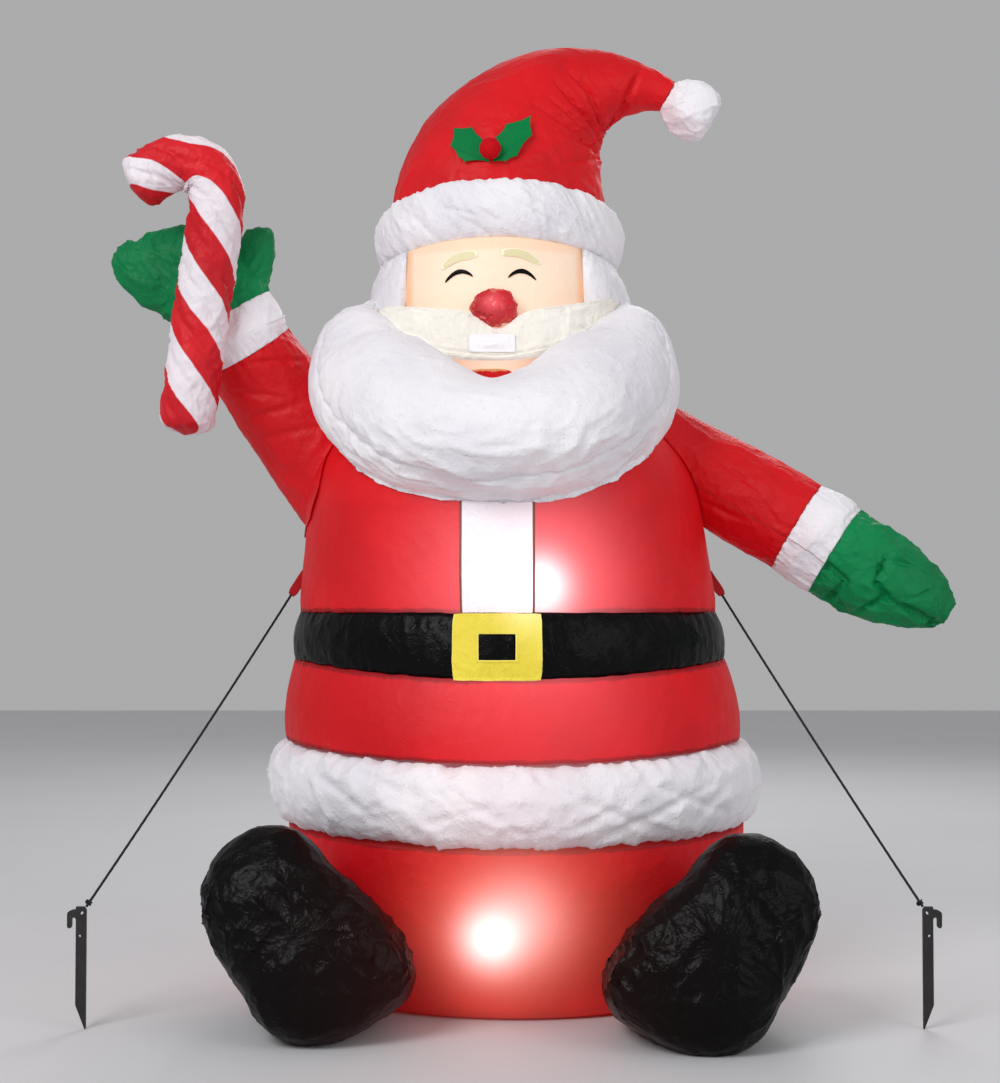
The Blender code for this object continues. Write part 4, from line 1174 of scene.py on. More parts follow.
@dataclass
class Head:
    """The head: face panel, hair, nose, brows, eyes, mouth, and the moustache with its patch."""

    levels: Levels
    trunk: Trunk
    wardrobe: Wardrobe
    radius: float = HEAD_RADIUS
    end_gap: float = 0.0003
    face_x: float = -0.0034
    hair_radius: float = 0.170
    hair_shares: tuple[float, ...] = (-0.06, 0.02, 0.20, 0.55, 0.88, 1.00)
    hair_puffs: tuple[float, ...] = (-0.018, -0.004, 0.004, 0.002, -0.006, -0.014)
    hair_fullness: float = 0.026
    face_angles: tuple[float, float] = (48.0, 43.5)
    nose_radius: float = 0.0265
    nose_place: tuple[float, float] = (-0.0082, 0.568)
    nose_turns: tuple[float, ...] = (0, 35, 50, 90, 130, 180, 208, 240, 265, 300, 325)
    nose_shares: tuple[float, ...] = (1.05, 1.03, 1.08, 0.93, 0.97, 1.08, 1.02, 0.86, 0.99, 0.82, 1.12)
    brow_share: float = 0.8950
    eye_share: float = 0.7945
    eye_x: float = 0.0388
    eye_size: tuple[float, float] = (0.0342, 0.0060)
    eye_rise: float = 0.0095
    eye_slopes: dict[Side, float] = field(default_factory=lambda: {Side.LEFT: 0.16, Side.RIGHT: -0.06})
    eyes_x: float = -0.0124
    mouth_place: tuple[float, float] = (-0.0129, 0.1497)
    mouth_size: tuple[float, float] = (0.056, 0.019)
    moustache_x: float = -0.0038
    moustache_half: float = 0.154
    # The rectangle that the moustache was cut from, and its own area before it was folded.
    moustache_flat: tuple[float, float] = (0.345, 0.086)
    moustache_area: float = 0.0185
    patch_place: tuple[float, float] = (-0.0104, 0.3390)
    patch_size: tuple[float, float] = (0.056, 0.022)

    @property
    def height(self) -> float:
        """From the neck to the hat's band."""
        return self.levels.band - self.levels.neck

    @property
    def axis_x(self) -> float:
        """The axis of the head."""
        return self.trunk.neck_x + self.face_x

    def wall(self, z: Array) -> Array:
        """The head's radius at a height: a drum that swells a little in the middle."""
        share = (z - self.levels.neck) / self.height
        return self.radius * np.interp(share, (0, 0.2, 0.45, 0.75, 1), (0.87, 0.96, 1.0, 1.0, 0.975))

    def face_point(self, x: Array, z: Array, lift: Array | float) -> Array:
        """The face's front at an x and a height, lifted off it by a distance."""
        radius = self.wall(z) + lift
        y = -np.sqrt(np.clip(radius**2 - (x - self.axis_x) ** 2, 1e-6, None))
        return stacked(x, y, z)

    def face(self) -> None:
        """The face panel, lit through, with painted shade in a deeper skin tone at its sides and under the
        band, and white nylon under the hair.
        """
        lv = self.levels
        z = np.linspace(lv.neck + self.end_gap, lv.band - self.end_gap, 50)[:, None]
        turn = whole_turn(240)[None]
        radius = self.wall(z)
        flat = stacked(radius * np.cos(turn), radius * np.sin(turn), z)
        skin = Skin(flat + self.axis_x * RIGHT, flat).crinkle(0.05, 0.0010, 90)
        skin.points = bow_over_brow(skin.points, lv)
        made = Nylon(
            "skin_sewn_nylon",
            (248, 221, 198),
            (245, 214, 188),
            fold_strength=0.28,
            inner=0.12,
            glows=(FACE_HALO, CHIN_HALO),
        )
        nodes = made.nodes()
        left, right = (self.radius * math.sin(math.radians(angle)) for angle in self.face_angles)
        middle, edge = self.axis_x + (right - left) / 2, (right + left) / 2
        # Painted shade: the sides, and the top rim under the band, turn a deeper orange.
        side = nodes.reach(nodes.away(nodes.part(nodes.place, "X"), middle), edge - 0.013, edge - 0.001)
        top = lv.band - 0.004
        rim = nodes.maths("MULTIPLY", nodes.reach(nodes.part(nodes.place, "Z"), top - 0.008, top), 0.3)
        shaded_skin = nodes.blend(nodes.maths("MAXIMUM", side, rim), nodes.dyed, tone(238, 178, 132))
        behind = nodes.reach(nodes.part(nodes.place, "Y"), -0.102, -0.098)
        nodes.finish("Base Color", nodes.blend(behind, shaded_skin, tone(226, 223, 228)))
        nodes.finish("Emission Strength", nodes.maths("SUBTRACT", 1.0, behind))
        dress(air_filled(skin.build("face")), nodes.material)

    def hair(self) -> None:
        """The hair: a puffed wrap, rounded at its front edges, carried round the head."""
        lv = self.levels
        first, last = (math.radians(angle) for angle in self.face_angles)
        turn = np.linspace(first, 2 * np.pi - last, 240)[:, None]
        ring = squared(whole_turn(120), 5)
        low, high = lv.neck - 0.0118, lv.band - 0.0004
        z = (low + high) / 2 + (high - low) / 2 * ring[None, :, 1]
        share = (z - lv.neck) / self.height
        arc = (turn - first) * self.radius
        end = np.minimum(arc, arc[-1] - arc)
        soft = np.sqrt(np.clip(1 - np.clip(1 - end / 0.030, 0, 1) ** 2, 0, 1))
        outer = self.hair_radius + np.interp(share, self.hair_shares, self.hair_puffs)
        outer = outer + self.hair_fullness * np.clip(-np.sin(turn), 0, 1) * np.clip(0.95 - share, 0, 0.6)
        inner = self.wall(z) + 0.0006
        radius = inner + (outer - inner) * (0.22 + 0.78 * soft) * (0.5 + 0.5 * ring[None, :, 0])
        cloth = stacked(z, radius, arc)
        skin = Skin(stacked(self.axis_x - radius * np.sin(turn), -radius * np.cos(turn), z), cloth)
        skin.crinkle((0.070, 0.05, 0.024), 0.0024, 101)
        skin.puff(0.0020 * lattice_noise(cloth / np.array((0.09, 0.05, 0.05)), 102))
        for edge in (low, high):
            skin.gather(np.abs(z - edge), 0.014, (0.08, 0.03, 0.018), 0.0025, 103)
        skin.points = self.push_out(skin.points, 0.0004)
        skin.points[..., 2] = np.clip(skin.points[..., 2], low, high)
        skin.points = bow_over_brow(self.trunk.push_out(skin.points, 0.0006), lv)
        self.wardrobe.puffed(skin, "hair", Finish.WHITE)

    def push_out(self, points: Array, gap: float) -> Array:
        """Move points that lie inside the head out to its wall, plus a gap."""
        z = points[..., 2]
        inside = (z > self.levels.neck - 0.02) & (z < self.levels.band + 0.001)
        radius = np.where(inside, self.wall(z) + gap, 0)
        return pushed_out(points, np.array((self.axis_x, 0)), radius)

    def push_forward(self, points: Array, gap: float) -> Array:
        """Move points that lie inside the head straight forward out of it, plus a gap."""
        z = points[..., 2]
        return pushed_forward(points, self.axis_x, self.wall(z) + gap, z >= self.levels.neck)

    def bow(self, x: float, z: float, width: float, thick: float, rise: float, slope: float) -> Skin:
        """A sewn-on arc on the face: a thin ring carried along a parabola.

        Args:
            x: of its middle.
            z: of its middle.
            width: from end to end.
            thick: its height in the middle.
            rise: of its middle over its ends.
            slope: rise over run from its left end to its right end.

        Returns:
            The skin.
        """
        t = np.linspace(-1, 1, 60)
        px = x + t * width / 2
        pz = z + rise * (1 - t * t) - rise / 2 + slope * t * width / 2
        places = self.face_point(px, pz, 0.0010)
        along = unit(np.gradient(places, axis=0))
        out = unit(places - stacked(self.axis_x, 0, pz))
        up = unit(np.cross(along, out))
        share = (1 - 0.5 * np.abs(t)) * np.sqrt(np.clip(1 - np.abs(t) ** 6, 0.02, 1))
        return ring_skin(places, up, out, thick / 2 * share, 0.0009, 24, power=3)

    def eyes_and_brows(self) -> None:
        """Two smiling arcs for eyes and two cream brows, thick at their inner ends."""
        cream = Nylon("cream_sewn_nylon", (226, 216, 176), (218, 207, 164), fold_strength=0.25, inner=0.10)
        nodes = cream.nodes()
        nodes.tint(nodes.reach(nodes.uv("Y"), 0.0084, 0.0092), (248, 240, 216))
        middle = self.spot(self.eyes_x, self.brow_share)
        z = self.spot(0.0, self.eye_share)[1]
        for side in Side:
            outline = middle + smooth_loop(np.array(BROW_CORNERS[side]), 9)
            skin = pad_skin(outline, self.face_point, 0.0007, 0.0012)
            dress(skin.build(f"{side.word}_brow"), nodes.material)
            x = middle[0] + side.value * self.eye_x
            skin = self.bow(x, z, *self.eye_size, self.eye_rise, self.eye_slopes[side])
            self.wardrobe.dress(skin.build(f"{side.word}_eye"), Finish.BLACK)

    @property
    def neck_x(self) -> float:
        """The trunk's axis at the neck."""
        return self.trunk.neck_x

    def spot(self, x: float, share: float) -> Array:
        """The x and height of a place: metres from the neck's axis and a share up the head."""
        return np.array((self.neck_x + x, self.levels.neck + self.height * share))

    def nose(self) -> None:
        """The nose: a small soft bag, gathered round its edge, with a dent low on its left."""
        x, height = self.spot(*self.nose_place)
        middle = np.array((x, -self.radius - 0.013, height))
        skin = ball_skin(middle, self.nose_radius, 60, 120, 0.0002, deep=0.92, tall=0.94)
        corners = np.interp(skin.turns() * 360, self.nose_turns, self.nose_shares, period=360)
        axis = skin.points.mean(1, keepdims=True) * BACK + middle * (RIGHT + UP)
        skin.points = axis + (skin.points - axis) * corners[None, :, None]
        skin.cloth = skin.points.copy()
        skin.crinkle(0.020, 0.0036, 111, layers=2)
        off = skin.points - middle - np.array((-0.004, -0.020, -0.002))
        ring = np.abs(np.hypot(off[..., 0] / 1.5, off[..., 2]) - 0.011)
        low = np.clip(-off[..., 2] / 0.006, 0, 1) * np.clip(0.5 - off[..., 0] / 0.02, 0, 1)
        skin.puff(-0.0060 * bell(ring, 0.0024) * low)
        skin.points = self.push_out(skin.points, 0.0005)
        bright = (float(x) - 0.003, -0.196, float(height) + 0.006)
        lit = Glow(bright, (255, 150, 160), 0.0135, 0.36)
        made = Nylon(
            "nose_nylon",
            (208, 0, 20),
            (170, 0, 12),
            roughness=0.26,
            fold_scale=90,
            fold_depth=0.0012,
            fold_strength=0.6,
            inner=0.16,
            shine=0.55,
            glows=(lit,),
        )
        dress(air_filled(skin.build("nose")), made.material())

    def mouth(self) -> None:
        """The mouth: a flat red oval sewn on the face, with a ragged yellowish upper edge."""
        middle = self.spot(*self.mouth_place)
        outline = middle + squared(whole_turn(90), 3.6) * np.array(self.mouth_size) / 2
        skin = pad_skin(outline, self.face_point, 0.001, 0.0014)
        nodes = replace(Finish.RED.nylon, name="mouth_nylon", colour=(214, 30, 34), inner=0.2).nodes()
        ragged = nodes.maths("MULTIPLY_ADD", nodes.noise(160, 2), 0.006, nodes.part(nodes.place, "Z"))
        top = float(middle[1]) + self.mouth_size[1] / 2
        nodes.tint(nodes.reach(ragged, top - 0.0006, top + 0.0008), (248, 200, 140))
        dress(skin.build("mouth"), nodes.material)

    @staticmethod
    def strip_edges(t: Array) -> tuple[Array, Array]:
        """The moustache's lower and upper edge, as shares of the head's height."""
        left = t < 0
        low = 0.2323 + np.where(left, 0.37 * np.abs(t) ** 3.0, 0.385 * np.abs(t) ** 2.33)
        high = 0.5472 + np.where(left, 0.093, 0.155) * t * t - 0.1136 * bell(t, 0.16)
        corner = 0.06 * np.clip((np.abs(t) - 0.86) / 0.14, 0, 1) ** 2
        return low + corner, high - corner

    def strip_folds(self, cloth: Array, t: Array, up: Array) -> Array:
        """How far the moustache stands out: soft waves, folds at its ends and a rolled lower edge."""
        wave = 0.0050 * lattice_noise(cloth / np.array((0.034, 1, 0.030)), 121)
        ends = np.where(t > 0, 1.3, 0.7) * np.abs(t) ** 1.5
        fan = 0.0095 * (creases(cloth, (0.055, 1, 0.020), 122, 3) - 0.3) * ends
        fine = 0.0026 * creases(cloth, (0.026, 1, 0.018), 123, 2)
        roll = 0.0034 * (bell(up - 0.07, 0.05) + 0.6 * bell(up - 0.20, 0.04))
        return wave + fan + fine + roll

    def strip_point(self, t: Array, up: Array) -> Array:
        """A point of the moustache at a share across, -1 to 1, and a share up its width, 0 to 1."""
        low, high = self.strip_edges(t)
        x = self.neck_x + self.moustache_x + self.moustache_half * t
        z = self.levels.neck + self.height * (low + (high - low) * up)
        y = -0.176 + (0.176 - 0.098) * np.abs(t) ** 3
        sag = 0.004 * np.sin(np.pi * up) * (1 - t * t)
        return stacked(x, y - sag, z)

    def moustache(self) -> None:
        """The moustache: a thin bowed strip, rolled at its lower edge, with folds at its right end."""
        t = np.linspace(-1, 1, 200)
        turn = whole_turn(80)
        up = 0.5 + 0.5 * signed_power(np.cos(turn), 0.5)
        points = self.strip_point(t[:, None], up[None])
        cloth = stacked(points[..., 0], 0, points[..., 2])
        half = 0.0007 * np.abs(np.sin(turn)) ** 0.4
        shift = self.strip_folds(cloth, t[:, None], up[None])
        points[..., 1] -= shift + np.where(np.sin(turn) < 0, 1, -1)[None] * half[None]
        dye = {"colour": (240, 236, 227), "shade": (230, 225, 215)}
        nodes = replace(Finish.WHITE.nylon, name="moustache_nylon", inner=0.09, **dye).nodes()
        nodes.tint(nodes.near(nodes.away(nodes.uv("X"), 0.5), 0.13, 0.006, 0.014), (196, 186, 160), 0.5)
        piece = dress(Skin(points, cloth).build("moustache"), nodes.material)
        self.patch()

    def patch(self) -> bpy.types.Object:
        """The bright patch under the nose: a flat rectangle laid on the moustache."""
        half = np.array(self.patch_size) / 2
        outline = self.spot(*self.patch_place) + squared(whole_turn(120), 24) * half
        made = Nylon("white_patch_nylon", (244, 242, 245), (238, 236, 240), fold_strength=0.06, inner=0.05)
        skin = pad_skin(outline, self.strip_front, 0.0004, 0.0024)
        return dress(skin.build("moustache_patch"), made.material())

    def strip_front(self, x: Array, z: Array, lift: Array) -> Array:
        """The moustache's front at an x and a height, lifted off it by a distance."""
        t = (x - self.neck_x - self.moustache_x) / self.moustache_half
        low, high = self.strip_edges(t)
        up = ((z - self.levels.neck) / self.height - low) / (high - low)
        points = self.strip_point(t, up)
        points[..., 1] -= self.strip_folds(stacked(x, 0, z), t, up) + lift
        return points

    def build(self) -> None:
        """Build and dress the head's pieces."""
        self.face()
        self.hair()
        self.eyes_and_brows()
        self.nose()
        self.mouth()
        self.moustache()


@dataclass
class Beard:
    """The beard: one fat crescent pillow hung from the face over the chest."""

    levels: Levels
    trunk: Trunk
    head: Head
    wardrobe: Wardrobe
    middle_x: float = -0.0078
    rows: tuple[tuple[float, ...], ...] = (
        (0.1495, 0.055, 0.1378, 0.0076, 0.010),
        (0.1602, 0.065, 0.1184, 0.0203, 0.022),
        (0.1672, 0.090, 0.0806, 0.0551, 0.055),
        (0.1510, 0.125, 0.0250, 0.0815, 0.078),
        (0.1137, 0.175, -0.0149, 0.0869, 0.088),
        (0.0689, 0.215, -0.0428, 0.0824, 0.092),
        (0.0000, 0.240, -0.0569, 0.0733, 0.092),
    )
    seam_turn: float = 0.875
    sides: int = 200

    def skin(self) -> Skin:
        """The crescent: the half's rows and their mirror image, lofted, folded and seated."""
        middle = self.trunk.neck_x + self.middle_x
        half = np.array(self.rows)
        places = stacked(middle - half[:, 0], -half[:, 1], self.levels.neck + half[:, 2])
        left = np.hstack([places, half[:, 3:]])
        right = left[-2::-1].copy()
        right[:, 0] = 2 * middle - right[:, 0]
        skin = path_skin(np.vstack([left, right]), 22, self.sides, back_power=3.2)
        skin.puff(0.0040 * lattice_noise(skin.cloth / 0.085, 135))
        below = np.clip((self.levels.neck + 0.02 - skin.points[..., 2]) / 0.09, 0.25, 1)
        skin.crinkle((0.060, 0.060, 0.060), 0.0066, 131, below, 2)
        skin.crinkle((0.030, 0.030, 0.045), 0.0026, 133, np.clip(below * 1.3 - 0.3, 0.1, 1), 2)
        away = np.abs((skin.turns()[None] - self.seam_turn + 0.5) % 1 - 0.5) * skin.girth()[:, None]
        skin.gather(away, 0.016, (0.10, 0.10, 0.026), 0.0048, 137)
        return skin.puff(-0.0020 * bell(away, 0.0022))

    def build(self) -> None:
        """Fold the skin along its seam, seat it on the trunk and the head, and dress it."""
        skin = self.skin()
        skin.points = self.head.push_forward(skin.points, 0.0012)
        skin.points = self.trunk.push_forward(skin.points, 0.0020)
        self.wardrobe.puffed(skin, "beard", Finish.WHITE)


# Corners of the leaves, in metres from the foot of the sprig.
LEAF_CORNERS = {
    Side.LEFT: (
        (-0.0500, 0.0250),
        (-0.0460, 0.0510),
        (-0.0230, 0.0495),
        (-0.0105, 0.0325),
        (-0.0030, 0.0150),
        (0.0000, 0.0000),
        (-0.0318, 0.0010),
        (-0.0400, 0.0086),
    ),
    Side.RIGHT: (
        (0.0070, 0.0335),
        (0.0205, 0.0515),
        (0.0510, 0.0630),
        (0.0524, 0.0365),
        (0.0336, 0.0073),
        (0.0188, 0.0000),
        (0.0024, 0.0000),
    ),
}


@dataclass
class Hat:
    """The hat: puffed band, drooping cone, pompom and a sprig of holly."""

    levels: Levels
    trunk: Trunk
    wardrobe: Wardrobe
    band_radius: float = 0.162
    fold_slant: float = 5.0
    radius: float = 0.142
    rings: tuple[tuple[float, ...], ...] = (
        (-0.0014, 0.000, 0.142, 0),
        (0.0016, 0.045, 0.132, -3),
        (0.0156, 0.089, 0.1165, -9),
        (0.0409, 0.124, 0.0985, -19),
        (0.0728, 0.147, 0.0800, -34),
        (0.1136, 0.160, 0.0592, -58),
        (0.1535, 0.164, 0.0435, -72),
        (0.1910, 0.159, 0.0300, -92),
        (0.2195, 0.148, 0.0208, -118),
    )
    bend: tuple[float, float] = (0.124, 1.074)
    pompom_rings: tuple[tuple[float, float], ...] = (
        (0, 0.0206),
        (0.012, 0.031),
        (0.031, 0.0385),
        (0.050, 0.0385),
        (0.063, 0.031),
        (0.067, 0.014),
    )
    pompom_slope: float = -28
    sprig: tuple[float, float] = (-0.0129, 0.0285)
    band_folds: tuple[Fold, ...] = (
        ((-0.0602, 0.9715), (-0.0037, 0.9397), 0.0022, 0.003),
        ((-0.0289, 0.9875), (0.0590, 0.9429), 0.003, 0.003),
        ((0.0089, 0.9907), (0.0904, 0.9397), 0.003, 0.0032),
        ((0.0402, 0.9842), (0.1219, 0.9206), 0.003, 0.003),
        ((0.0590, 0.9810), (0.1281, 0.9276), 0.0022, 0.003),
        ((-0.1010, 0.9715), (-0.0477, 0.9556), 0.002, 0.0028),
        ((-0.1368, 0.9710), (-0.1063, 0.9376), 0.002, 0.003),
        ((-0.0757, 0.9586), (-0.0306, 0.9326), 0.002, 0.0028),
    )
    folds: tuple[Fold, ...] = (
        ((0.1614, 1.1715), (0.1416, 1.1297), 0.008, 0.004),
        ((0.1416, 1.1297), (0.1171, 1.0978), 0.005, 0.004),
        ((0.0596, 1.1681), (0.1023, 1.1297), 0.005, 0.0035),
        ((0.0496, 1.1447), (0.1088, 1.0846), 0.006, 0.004),
        ((0.0234, 1.1080), (0.1088, 1.0645), 0.005, 0.004),
        ((0.0563, 1.0745), (0.1104, 1.0662), 0.004, 0.0035),
        ((0.0628, 1.0345), (0.1088, 1.0612), 0.004, 0.0035),
        ((0.0858, 1.1548), (0.1104, 1.0978), 0.005, 0.0035),
        ((0.0431, 1.1198), (0.1054, 1.0729), 0.0035, 0.003),
    )
    berry_radius: float = 0.0132
    berry_height: float = 0.0440

    def band(self) -> None:
        """The band: a puffed ring with slanting folds and puckers at both seams."""
        lv = self.levels
        steep = math.radians(68)
        lift = np.linspace(-steep, steep, 56)[:, None]
        turn = whole_turn(420)[None]
        radius = self.radius + (self.band_radius - self.radius) * np.cos(lift)
        height = lv.band + (lv.hat - lv.band) * (1 + np.sin(lift) / math.sin(steep)) / 2
        flat = stacked(radius * np.cos(turn), radius * np.sin(turn), height)
        skin = Skin(flat + (self.trunk.neck_x + self.rings[0][0]) * RIGHT, flat)
        shear = np.arctan2(flat[..., 1], flat[..., 0]) + (flat[..., 2] - lv.band) * self.fold_slant
        slant = stacked(self.band_radius * np.cos(shear), self.band_radius * np.sin(shear), flat[..., 2])
        skin.puff(0.0046 * (creases(slant, (0.036, 0.036, 0.10), 141) - 0.3))
        for seam, seed in ((lv.band, 142), (lv.hat, 143)):
            skin.pucker(seam, 0.008, 0.022, 0.0020, seed)
        skin.points[..., 2] = np.clip(skin.points[..., 2], lv.band + 0.0003, lv.hat - 0.0002)
        skin.points = bow_over_brow(skin.points, lv)
        skin.press(self.band_folds)
        self.wardrobe.puffed(skin, "hat_band", Finish.WHITE)

    def cone(self) -> None:
        """The cone, with folds that fan out from the inside of its bend."""
        rows = smooth_rows(np.array(self.rings), 18)
        places = stacked(self.trunk.neck_x + rows[:, 0], 0, self.levels.hat + 0.0006 + rows[:, 1])
        slope = np.radians(rows[:, 3])
        across = stacked(np.cos(slope), 0, np.sin(slope))
        skin = ring_skin(places, across, BACK, rows[:, 2], rows[:, 2], 230)
        skin.crinkle(0.060, 0.0030, 151)
        skin.puff(0.0025 * lattice_noise(skin.cloth / 0.08, 152))
        off = skin.points[..., [0, 2]] - np.array(self.bend)
        far, slope = np.hypot(off[..., 0], off[..., 1]), np.arctan2(off[..., 1], off[..., 0])
        fan = creases(stacked(slope * 0.09, far * 0.25, skin.points[..., 1] * 0.2), 0.022, 155, 2)
        skin.puff(-0.0060 * np.exp(-far / 0.045) * fan)
        skin.press(self.folds)
        skin.pucker(0.0, 0.010, 0.020, 0.0022, 153)
        floor = self.levels.hat + 0.0004
        skin.points[..., 2] = np.maximum(skin.points[..., 2], floor)
        skin.points = bow_over_brow(skin.points, self.levels)
        self.wardrobe.puffed(skin, "hat", Finish.RED)

    def pompom(self) -> None:
        """The pompom: a puffed drum with a few flat facets, gathered at the hat's tip."""
        tip = np.array((self.trunk.neck_x + self.rings[-1][0], 0, self.levels.hat + self.rings[-1][1]))
        slope = math.radians(self.pompom_slope)
        along = np.array((math.cos(slope), 0, math.sin(slope)))
        rows = smooth_rows(np.array(self.pompom_rings), 10)
        places = tip + along * (0.0002 + rows[:, :1])
        across = np.array((-along[2], 0, along[0]))
        skin = ring_skin(places, across, BACK, rows[:, 1], rows[:, 1], 120)
        facet = 0.0036 * (0.3 - np.abs(np.cos(2.5 * 2 * np.pi * skin.turns() + 0.4)))
        skin.puff(facet[None] * np.sin(np.linspace(0.1, 3.0, len(rows)))[:, None])
        skin.crinkle(0.040, 0.0042, 161, layers=2)
        self.wardrobe.puffed(skin, "pompom", Finish.WHITE)

    def front_point(self, x: Array, z: Array, lift: Array) -> Array:
        """The hat's front at an x and a height, lifted off it by a distance."""
        rings = np.array(self.rings)
        up = z - self.levels.hat
        radius = np.interp(up, rings[:5, 1], rings[:5, 2]) + lift
        axis = self.trunk.neck_x + np.interp(up, rings[:5, 1], rings[:5, 0])
        y = -np.sqrt(np.clip(radius**2 - (x - axis) ** 2, 1e-6, None))
        return stacked(x, y, z)

    def leaf_point(self, root: Array, tip: Array, x: Array, z: Array, lift: Array) -> Array:
        """A leaf over the hat: lifted off it, more towards its tip, and creased along its midrib."""
        off = stacked(x, z) - root
        rib = np.abs(off[..., 0] * tip[1] - off[..., 1] * tip[0])
        curl = 0.0040 + 0.0050 * np.abs(off[..., 0]) / 0.05 - 0.0015 * bell(rib, 0.002)
        return self.front_point(x, z, curl + lift)

    def holly(self) -> None:
        """Two spiked leaves with a midrib, and the round berry between them."""
        green = Nylon("leaf_nylon", (0, 122, 62), (0, 98, 50), fold_strength=0.4, inner=0.06, shine=0.12)
        material = green.material()
        x = self.trunk.neck_x + self.sprig[0]
        root = np.array((x, self.levels.hat + self.sprig[1]))
        for side in Side:
            corners = np.array(LEAF_CORNERS[side])
            tip = unit(corners[np.abs(corners[:, 0]).argmax()])
            outline = root + closed_curve(LEAF_CORNERS[side], 14, 0.07)
            skin = pad_skin(outline, partial(self.leaf_point, root, tip), 0.001, 0.0004)
            dress(skin.build(f"{side.word}_holly_leaf"), material)
        middle = np.array((x, -self.radius - 0.003, self.levels.hat + self.berry_height))
        berry = ball_skin(middle, self.berry_radius, 40, 60, 0.0001)
        berry.puff(0.0006 * lattice_noise(berry.points / 0.006, 171))
        felt = Nylon(
            "berry_felt",
            (196, 12, 24),
            (170, 6, 18),
            roughness=0.8,
            fold_scale=120,
            fold_strength=0.4,
            inner=0.1,
            shine=0.1,
        )
        dress(berry.build("holly_berry"), felt.material())

    def build(self) -> None:
        """Build and dress the hat's pieces."""
        self.band()
        self.cone()
        self.pompom()
        self.holly()


class ArmPiece(Enum):
    """The sewn pieces of an arm, from the shoulder out."""

    SLEEVE = "sleeve"
    CUFF = "cuff"
    MITTEN = "mitten"


@dataclass
class Arm:
    """An arm of sleeve, cuff and mitten: one smooth limb cut at its seams."""

    levels: Levels
    trunk: Trunk
    wardrobe: Wardrobe
    word: str
    rows: dict[ArmPiece, tuple[tuple[float, ...], ...]]
    folds: dict[ArmPiece, tuple[Fold, ...]]
    seed: int
    thumb: tuple[tuple[float, ...], ...] = ()
    seam_turn: float | None = None
    per_span: int = 26
    sides: int = 180

    def placed(self, rows: tuple) -> Array:
        """Rows moved from the neck to their place."""
        table = np.array(rows)
        table[:, 0] += self.trunk.neck_x
        table[:, 2] += self.levels.neck
        return table

    def sections(self) -> dict[ArmPiece, Skin]:
        """The limb, lofted as one and cut at its seams."""
        every = [row for rows in self.rows.values() for row in rows]
        limb = path_skin(self.placed(tuple(every)), self.per_span, self.sides)
        cut, first = {}, 0
        for piece, rows in self.rows.items():
            last = min(first + self.per_span * len(rows), len(limb.points) - 1)
            skin = Skin(limb.points[first : last + 1].copy(), limb.cloth[first : last + 1].copy())
            if first:
                step = unit(limb.points[first + 1].mean(0) - limb.points[first - 1].mean(0)) * 0.0004
                skin.points[0] += step
            cut[piece] = skin
            first = last
        return cut

    def build(self) -> None:
        """Fold, seat and dress the three pieces."""
        looks = {
            ArmPiece.SLEEVE: (Finish.RED, 0.0028),
            ArmPiece.CUFF: (Finish.WHITE, 0.0026),
            ArmPiece.MITTEN: (Finish.GREEN, 0.0060),
        }
        for number, (part, skin) in enumerate(self.sections().items()):
            finish, depth = looks[part]
            skin.crinkle((0.05, 0.05, 0.06), depth, self.seed + 10 * number)
            along = skin.cloth[..., 2]
            skin.press(self.folds.get(part, ()))
            if part is not ArmPiece.SLEEVE:
                skin.pucker(float(along.min()), 0.012, 0.014, 0.0030, self.seed + 3)
            if part is not ArmPiece.MITTEN:
                skin.pucker(float(along.max()), 0.012, 0.014, 0.0030, self.seed + 4)
            if part is ArmPiece.SLEEVE:
                skin.points = self.trunk.push_out(skin.points, 0.0006)
            made = skin.build(f"{self.word}_{part.value}")
            if part is ArmPiece.MITTEN and self.thumb:
                made = self.with_thumb(made)
            if self.seam_turn is None or part is ArmPiece.MITTEN:
                self.wardrobe.dress(air_filled(made), finish)
            else:
                dress(air_filled(made), self.seamed(finish))

    def seamed(self, finish: Finish) -> bpy.types.Material:
        """A finish with one stitched seam that runs along the arm as a thin dark line."""
        nodes = replace(finish.nylon, name=f"seamed_{finish.nylon.name}").nodes()
        nodes.tint(nodes.near(nodes.uv("X"), self.seam_turn, 0.0010, 0.0030), (110, 40, 40), 0.6)
        return nodes.material

    def with_thumb(self, mitten: bpy.types.Object) -> bpy.types.Object:
        """Join the thumb to the mitten: both skins are remeshed into one."""
        rows = self.placed(self.thumb)
        skin = path_skin(rows, 14, 80).crinkle(0.035, 0.0035, self.seed + 50)
        thumb = skin.build("thumb")
        union = mitten.modifiers.new("thumb", "BOOLEAN")
        union.operation = "UNION"
        union.object = thumb
        bpy.context.view_layer.update()
        evaluated = mitten.evaluated_get(bpy.context.evaluated_depsgraph_get())
        mesh = bpy.data.meshes.new_from_object(evaluated)
        mitten.modifiers.clear()
        mitten.data = mesh
        mesh.shade_smooth()
        bpy.data.objects.remove(thumb, do_unlink=True)
        return mitten


